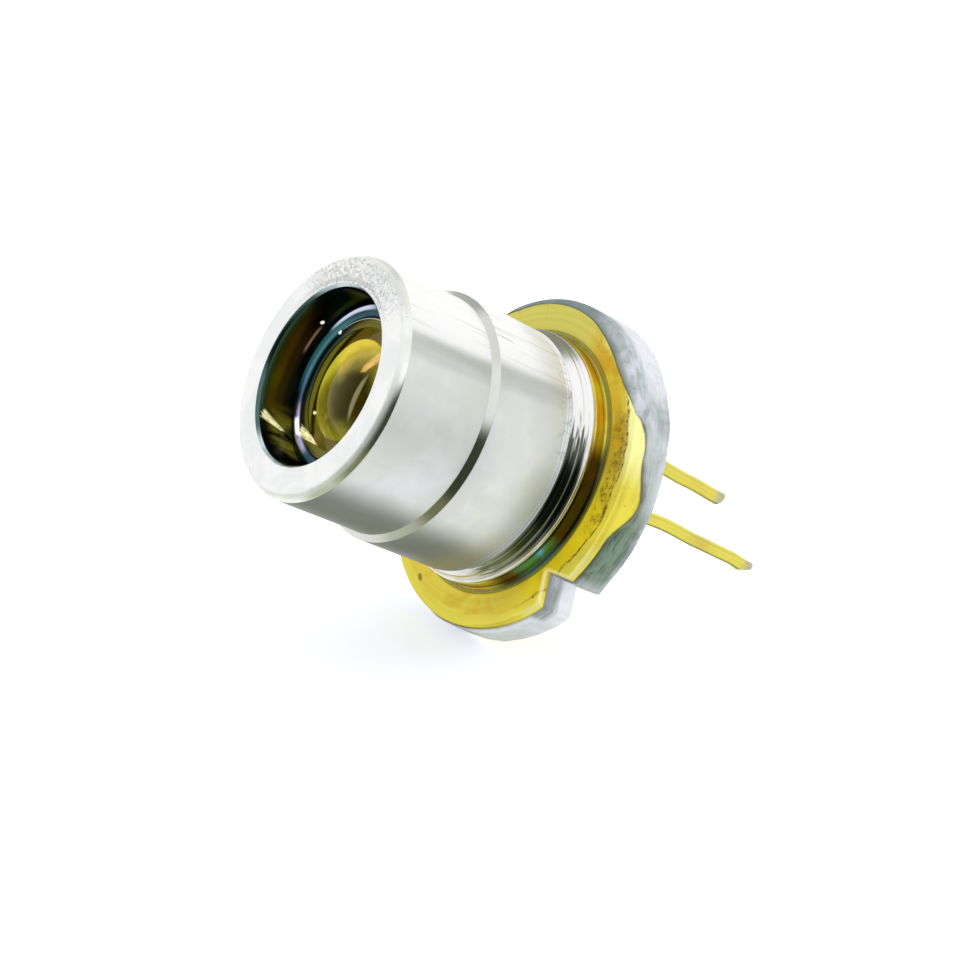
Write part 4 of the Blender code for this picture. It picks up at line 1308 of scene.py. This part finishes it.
class DIODE_OT_solder(bpy.types.Operator):
    """Lay the lumpy solder round the rim of the stem"""

    bl_idname = "diode.solder"
    bl_label = "Solder"

    def execute(self, context):
        settings = context.scene.diode_solder
        facets = context.scene.diode_stem.facets
        bm = self.sweep(settings.sections)
        self.lump(bm)
        stem = [(shape(facets, SOLDER_GAP), "DIFFERENCE") for shape in (notched_disc, turned_boss)]
        bm = cut(bm, "solder", stem)
        self.mark_edge(bm)
        finish_piece(
            "solder_rim", bm, (self.finish(settings),), "solder_collar", sharp=60, weighted=False
        )
        return {"FINISHED"}

    def sweep(self, sections):
        """Spin a ring of the right number of corners, then give each corner its place on the rim."""
        count = len(self.section(0.0))
        across = count // 2
        corners = [(SWEEP_RADIUS + index, 0.0) for index in range(across)]
        corners += [(SWEEP_RADIUS + count - 1 - index, 1.0) for index in range(across, count)]
        bm = spun(corners, sections)
        for vert in bm.verts:
            angle = rim_angle(vert, sections)
            index = round(vert.co.xy.length - SWEEP_RADIUS)
            if vert.co.z > 0.5:
                index = count - 1 - index
            offset, height = self.section(math.degrees(angle))[index]
            radius = rim_radius(angle, offset)
            vert.co = (radius * math.cos(angle), radius * math.sin(angle), height)
        bmesh.ops.recalc_face_normals(bm, faces=bm.faces)
        return bm

    def section(self, angle):
        """The solder's section at one angle in degrees, as (offset from the rim, height) corners."""
        turn = math.radians(angle)
        ripple = sum(share * math.sin(count * turn + phase) for count, share, phase in SOLDER_WAVES)
        wall = SOLDER_THICKNESS + SOLDER_RIPPLE * ripple / 2
        wall *= 1 - SOLDER_FAR_THINNING * hill(angle, SOLDER_FAR_ANGLE, SOLDER_FAR_SPREAD)
        top = self.top(angle)
        reach = -max(STEM_FRONT_BEVEL, lap_reach(angle))
        height = top - SOLDER_BOTTOM
        section = [(wall, SOLDER_BOTTOM)]
        section += [(share * wall, top - down * height) for share, down in SOLDER_BULGE]
        section += [(share * reach, top - down * height) for share, down in SOLDER_TOP]
        return section + [(reach, top - height / 4), (-SOLDER_ROOT, SOLDER_BOTTOM)]

    def top(self, angle):
        """The height of the solder at one angle: below the rim's edge, or over it where it laps."""
        low = sum(dip * hill(angle, centre, spread) for dip, centre, spread in SOLDER_DIPS)
        reach = lap_reach(angle)
        climb = smooth(reach / STEM_FRONT_BEVEL)
        side_top = SOLDER_SIDE_HEIGHT - low
        side_top += SOLDER_RIPPLE * (1 - climb) * math.sin(SOLDER_TOP_WAVES * math.radians(angle))
        rise = 0.01 + (SOLDER_LAP_HEIGHT - 0.01) * smooth((reach - STEM_FRONT_BEVEL) / SOLDER_LAP_RISE)
        return side_top + (STEM_THICKNESS + rise - side_top) * climb

    def mark_edge(self, bm):
        """Store on each vertex how near it is to the edge where the solder meets the gold, where a shadow
        is painted.
        """
        layer = bm.verts.layers.float.new("edge")
        for vert in bm.verts:
            angle = math.atan2(vert.co.y, vert.co.x)
            if vert.co.z > STEM_THICKNESS - STEM_FRONT_BEVEL:
                brim = rim_radius(angle, -lap_reach(math.degrees(angle)))
                away = math.hypot(vert.co.x, vert.co.y) - brim
            else:
                away = self.top(math.degrees(angle)) - vert.co.z
            vert[layer] = 1 - smooth(away / SOLDER_EDGE)

    def lump(self, bm):
        """Small lumps, kept inside the box of the CAD piece."""
        low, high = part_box("solder_collar")
        for vert in bm.verts:
            turn = math.atan2(vert.co.y, vert.co.x)
            swell = noise.fractal(vert.co * SOLDER_LUMPS_PER_MM, 0.9, 2.1, 4)
            radius = math.hypot(vert.co.x, vert.co.y)
            free = min(1.0, max(0.0, (radius - rim_radius(turn, SOLDER_GAP)) / 0.05))
            out = Vector((vert.co.x, vert.co.y, 0.0)).normalized()
            vert.co += out * SOLDER_LUMP * free * (swell - 0.25)
            if vert.co.z > STEM_THICKNESS + 0.03:
                vert.co.z += 0.6 * SOLDER_LUMP * swell
            for axis in range(3):
                vert.co[axis] = min(max(vert.co[axis], low[axis] / MM), high[axis] / MM)

    def finish(self, settings):
        """Solder: grey with pale streaks, moss green below the notch, with painted shadow at its edge on
        the gold, painted shade in the notch, and a painted highlight and glow on the side past the notch.
        """
        finish = Finish("solder residue")
        place = finish.place
        height = place.height()
        streaks = place.noise(1.5, 5.0, (1.0, 1.0, 4.5), distortion=0.8)
        specks = place.pits(8.0, 0.22, 0.25)
        scratches = place.scratches(2.4, 0.02, 0.5)
        moss = blend(streaks.remap(0.42, 0.56), (0.10, 0.17, 0.065), (0.25, 0.36, 0.25))
        brim = place.axis_distance().ease(STEM_RADIUS - 0.10, STEM_RADIUS - 0.30)
        pale = (place.facing(-40, 8, 20) * 0.7).larger(place.facing(6, 14, 30))
        # Painted highlight with a painted glow on the side past the notch.
        painted_light_side = place.facing(-108, 16, 30)
        # Painted shade deep in the notch and under the gold's edge.
        painted_notch_shade = place.facing(-96, 5, 8) * height.band(0.80, 0.12, 0.25)
        painted_shade_under_gold = place.facing(-90, 5, 9) * height.band(0.98, 0.04, 0.08)
        painted_notch_shade = (painted_notch_shade * streaks.remap(0.40, 0.55, 0.5, 1.0)).larger(painted_shade_under_gold)
        # How near the edge on the gold, for the painted shadow there.
        edge = node(place.tree, "ShaderNodeAttribute", output="Fac", attribute_name="edge")
        colour = layered(
            blend(streaks.remap(0.40, 0.62) * 0.85, settings.grey, (0.80, 0.83, 0.88)),
            (place.mottle(1.3, 0.40, 0.64) * 0.60, settings.stained),
            (place.facing(-58, 16, 30) * height.ease(0.0, 0.40) * 0.92, moss),
            (place.facing(62, 26, 58) * 0.80, (0.17, 0.23, 0.23)),
            (brim * 0.65, (0.20, 0.27, 0.25)),
            (pale * height.ease(1.00, 0.70) * 0.75, (0.94, 0.96, 1.0)),
            (painted_light_side * 0.85, (0.88, 0.89, 0.92)),
            (painted_notch_shade * 0.85, (0.09, 0.13, 0.095)),
            (edge * 0.75, (0.075, 0.090, 0.050)),
            (specks * 0.5, (0.10, 0.13, 0.11)),
            (scratches * (1.0 - painted_light_side) * 0.15, (0.14, 0.19, 0.18)),
        )
        return finish.feed(
            Base_Color=colour,
            # Painted glow on the side past the notch.
            Emission_Color=blend(painted_light_side, BLACK, (0.16, 0.17, 0.18)),
            Roughness=streaks.spread(settings.roughness - 0.08, settings.roughness + 0.14),
            Normal=(streaks - specks * 0.3).bump(0.04, 0.5),
            Metallic=0.55,
        )


class DIODE_OT_lens(bpy.types.Operator):
    """Mould the collimating lens and finish what shows through it"""

    bl_idname = "diode.lens"
    bl_label = "Lens"

    def execute(self, context):
        settings = context.scene.diode_lens
        points = []
        for ring in range(DOME_RINGS + 1):
            share = ring / DOME_RINGS
            fall = share**2 * (1 - DOME_FLATTENING) + DOME_FLATTENING * share**4
            points.append((DOME_RADIUS * share, LENS_TOP + DOME_HEIGHT * (1 - fall)))
        points += [(LENS_RADIUS, LENS_TOP), (LENS_RADIUS, LENS_BACK)]
        for ring in range(DOME_RINGS // 2, -1, -1):
            share = 2 * ring / DOME_RINGS
            points.append((LENS_BACK_RADIUS * share, LENS_BACK - LENS_BACK_HEIGHT * (1 - share**2)))
        bm = spun(points, LENS_FACETS, closed=False)
        bevel_rings(bm, ((LENS_RADIUS, LENS_TOP, LENS_BEVEL), (LENS_RADIUS, LENS_BACK, LENS_BEVEL)), 3)
        for face in bm.faces:
            face.material_index = 0 if face.calc_center_median().z > LENS_TOP - 0.1 else 1
        materials = (self.glass(settings), self.bonded())
        finish_piece("lens", bm, materials, "collimating_lens", sharp=30)
        self.dress_inside(settings)
        return {"FINISHED"}

    def glass(self, settings):
        """The front of the lens: tinted glass with painted shade towards its middle, and a painted glow,
        streaks and glints that stand for the light caught in its dome.
        """
        finish = Finish("lens glass")
        place = finish.place
        haze = place.noise(1.2, 3.0)
        away = place.flat().vector("DISTANCE", (0.10, -0.55, 0.0))
        away = away + place.noise(1.4, 3.0).spread(-0.20, 0.20)
        on_dome = place.axis_distance().remap(DOME_RADIUS, DOME_RADIUS - 0.04)
        lit = away.ease(0.45, 1.48) * place.facing(-170, 25, 65).remap(0.0, 1.0, 1.0, 0.35)
        fan = place.noise(1.0, 3.0, (9.0, 2.5, 1.0)).remap(0.50, 0.64)
        fan = place.facing(-150, 16, 44) * fan * on_dome * place.axis_distance().remap(0.75, 1.15)
        streak = place.mark((0.33, -0.65, 6.87), (0.74, 0.085, 0.6), (0.0, 0.0, -0.56))
        amber = place.spike((1.24, 0.04, 6.68), (0.72, -0.15, 6.91), (0.45, 0.0, 0.90), 0.16, 0.55)
        spark = place.mark((-1.35, 0.38, LENS_TOP), (0.085, 0.055, 0.3), (0.0, 0.0, 1.1))
        return finish.feed(
            Base_Color=layered(
                blend(haze, settings.glass, (0.97, 0.97, 0.84)),
                # Painted shade towards the middle of the dome.
                (away.ease(1.50, 0.90), (0.36, 0.36, 0.010)),
            ),
            # Painted light in the dome: a glow, a fan of lines, a streak, an amber mark and a spark.
            Emission_Color=layered(
                BLACK,
                (lit * on_dome, blend(place.facing(40, 20, 60), (0.40, 0.39, 0.026), (0.64, 0.50, 0.060))),
                (fan * 0.6, (0.30, 0.22, 0.05)),
                (streak * 0.8, (0.24, 0.24, 0.13)),
                (amber, (0.88, 0.54, 0.15)),
                (spark, (0.95, 0.90, 0.55)),
            ),
            Roughness=haze.remap(0.45, 0.75, 0.0, 0.05),
            Transmission_Weight=1.0,
            IOR=settings.index,
            Specular_Tint=BLACK,
        )

    def bonded(self):
        """The lens's side and back, matched to what holds them so that they don't bend or mirror light."""
        finish = Finish("bonded glass")
        return finish.feed(
            Base_Color=blend(finish.place.noise(1.2, 3.0), WHITE, (0.98, 0.98, 0.92)),
            Roughness=0.0,
            Transmission_Weight=1.0,
            IOR=1.001,
        )

    def dress_inside(self, settings):
        gilt = turned_metal("gilt inside", settings.glint, (0.70, 0.50, 0.10), 0.24, 6.0, 0.002, 0.1)
        frit = clouded("fired frit", (0.12, 0.10, 0.03), (0.07, 0.055, 0.02), 0.45, 2.5, 0.0, 0.02)
        ceramic = clouded("submount ceramic", (0.72, 0.70, 0.66), (0.60, 0.58, 0.52), 0.55, 6.0, 0.0, 0.004)
        crystal = clouded("chip crystal", (0.20, 0.20, 0.22), (0.12, 0.12, 0.15), 0.12, 5.0, 0.6, 0.001)
        wire = clouded("bond wire", (0.88, 0.70, 0.25), (0.76, 0.55, 0.16), 0.22, 9.0, 1.0, 0.002)
        dress_node("heat_sink", gilt)
        dress_node("lens_frit", frit)
        dress_node("submount", ceramic)
        dress_node("laser_chip", crystal)
        for name in ("chip_1", "chip_2", "pad_1", "pad_2"):
            dress_node(f"bond_wire_{name}", wire)


class DIODE_OT_leads(bpy.types.Operator):
    """Draw the two leads with their handling bends and cut tips, and fuse their glass seals"""

    bl_idname = "diode.leads"
    bl_label = "Leads"

    def execute(self, context):
        settings = context.scene.diode_leads
        plating = self.plating(settings)
        glass = self.seal_glass()
        for name, root in LEAD_ROOTS.items():
            bm = self.rod(name, root, settings)
            finish_piece(f"lead_{name}_drawn", bm, (plating,), f"lead_{name}", sharp=40)
            seal = self.seal()
            bmesh.ops.translate(seal, vec=root, verts=seal.verts)
            finish_piece(f"seal_{name}", seal, (glass,), f"glass_seal_{name}", sharp=60)
        return {"FINISHED"}

    def push(self, name, share):
        """How far a lead is bent aside at a share of its length, as a share of LEAD_PUSH."""
        bends = LEAD_BENDS[name]
        for (start, before), (end, after) in zip(bends, bends[1:]):
            if share <= end:
                past = max(0.0, (share - start) / (end - start))
                return before + (after - before) * (0.5 - 0.5 * math.cos(math.pi * past))
        return bends[-1][1]

    def rod(self, name, root, settings):
        """Extrude a circle ring by ring down the lead's bent line, and cut its tip at a slant."""
        length = LEAD_LENGTHS[name]
        centre = root + Vector((0, 0, LEAD_TOP))
        bm = bmesh.new()
        bmesh.ops.create_circle(bm, cap_ends=True, segments=settings.sides, radius=LEAD_RADIUS)
        bmesh.ops.translate(bm, vec=centre, verts=bm.verts)
        bm.faces[:][0].normal_flip()
        ring = list(bm.edges)
        for index in range(1, settings.rings + 1):
            height = LEAD_TOP - (LEAD_TOP + length) * index / settings.rings
            place = root + LEAD_PUSH * self.push(name, -height / length) + Vector((0, 0, height))
            grown = bmesh.ops.extrude_edge_only(bm, edges=ring)["geom"]
            verts = [part for part in grown if isinstance(part, bmesh.types.BMVert)]
            ring = [part for part in grown if isinstance(part, bmesh.types.BMEdge)]
            bmesh.ops.translate(bm, vec=place - centre, verts=verts)
            centre = place
        ring = [edge for edge in ring if all(vert in verts for vert in edge.verts)]
        for vert in verts:
            across = vert.co - centre
            vert.co.z -= LEAD_CUT_SLOPE * (across.x + across.y) / math.sqrt(2)
        bmesh.ops.contextual_create(bm, geom=ring)
        bmesh.ops.recalc_face_normals(bm, faces=bm.faces)
        tip = [edge for edge in bm.edges if all(vert in verts for vert in edge.verts)]
        bevel_edges(bm, tip, LEAD_TIP_BEVEL, 3)
        return bm

    def plating(self, settings):
        """Gold plating with faint lines along the wire, fine scratches and bare metal at the cut ends."""
        finish = Finish("gilt leads")
        place = finish.place
        drawn = place.noise(1.0, 4.0, (9.0, 9.0, 0.7))
        gold = blend(place.mottle(0.8, 0.45, 0.7), settings.gold, (0.72, 0.58, 0.12))
        side = node(place.tree, "ShaderNodeSeparateXYZ", {0: place})
        tips = []
        for name, root in LEAD_ROOTS.items():
            end = -LEAD_LENGTHS[name]
            reached = side.other("Z").ease(end + 0.16, end + 0.50, 1.0, 0.0)
            tips.append((side * root.x).maths("GREATER_THAN", 0.0) * reached)
        return finish.feed(
            Base_Color=layered(
                toned(gold, drawn.spread(0.90, 1.0)),
                (place.scratches(1.4, 0.012, 0.4) * 0.5, (0.40, 0.30, 0.08)),
                (tips[0].larger(tips[1]) * 0.7, settings.core),
            ),
            Roughness=drawn.spread(0.24, 0.36),
            Normal=drawn.bump(0.004),
            Metallic=1.0,
        )

    def seal(self):
        """A ring of glass whose surface dips between its wall and the lead."""
        inner = LEAD_RADIUS + SEAL_GAP
        outer = SEAL_RADIUS - SEAL_GAP
        shares = [step / SEAL_STEPS for step in range(SEAL_STEPS + 1)]
        dip = [(inner + (outer - inner) * share, SEAL_DIP * math.sin(math.pi * share)) for share in shares]
        back = [(radius, SEAL_RECESS / 2 + sink) for radius, sink in dip]
        front = [(radius, BOSS_TOP - SEAL_RECESS / 2 - sink) for radius, sink in reversed(dip)]
        return spun(back + front, SEAL_FACETS)

    def seal_glass(self):
        """Dark glass with a swirl in it."""
        finish = Finish("seal glass")
        swirl = finish.place.noise(3.0, 4.0, distortion=0.8)
        return finish.feed(
            Base_Color=blend(swirl.remap(0.35, 0.65), (0.10, 0.13, 0.14), (0.20, 0.25, 0.27)),
            Roughness=swirl.spread(0.06, 0.2),
            Normal=swirl.bump(0.01),
            Coat_Weight=0.5,
        )


class VIEW3D_PT_diode(bpy.types.Panel):
    """Sizes, colours and steps of the laser diode"""

    bl_label = "Laser diode"
    bl_space_type = "VIEW_3D"
    bl_region_type = "UI"
    bl_category = "Laser diode"

    def draw(self, context):
        for operator, name, _ in STEPS:
            box = self.layout.box()
            box.operator(operator.bl_idname)
            settings = getattr(context.scene, name)
            for setting in settings.__annotations__:
                box.prop(settings, setting)


STEPS = (
    (DIODE_OT_stage, "diode_stage", StageSettings),
    (DIODE_OT_barrel, "diode_barrel", BarrelSettings),
    (DIODE_OT_stem, "diode_stem", StemSettings),
    (DIODE_OT_solder, "diode_solder", SolderSettings),
    (DIODE_OT_lens, "diode_lens", LensSettings),
    (DIODE_OT_leads, "diode_leads", LeadSettings),
)


def register():
    for operator, name, group in STEPS:
        bpy.utils.register_class(group)
        setattr(bpy.types.Scene, name, PointerProperty(type=group))
        bpy.utils.register_class(operator)
    bpy.utils.register_class(VIEW3D_PT_diode)


def unregister():
    bpy.utils.unregister_class(VIEW3D_PT_diode)
    for operator, name, group in STEPS:
        bpy.utils.unregister_class(operator)
        delattr(bpy.types.Scene, name)
        bpy.utils.unregister_class(group)


def main():
    register()
    for group in NODE_GROUPS:
        build_group(*group)
    bpy.ops.diode.stage()
    bpy.ops.diode.barrel()
    bpy.ops.diode.stem()
    bpy.ops.diode.solder()
    bpy.ops.diode.lens()
    bpy.ops.diode.leads()


if __name__ == "__main__":
    main()
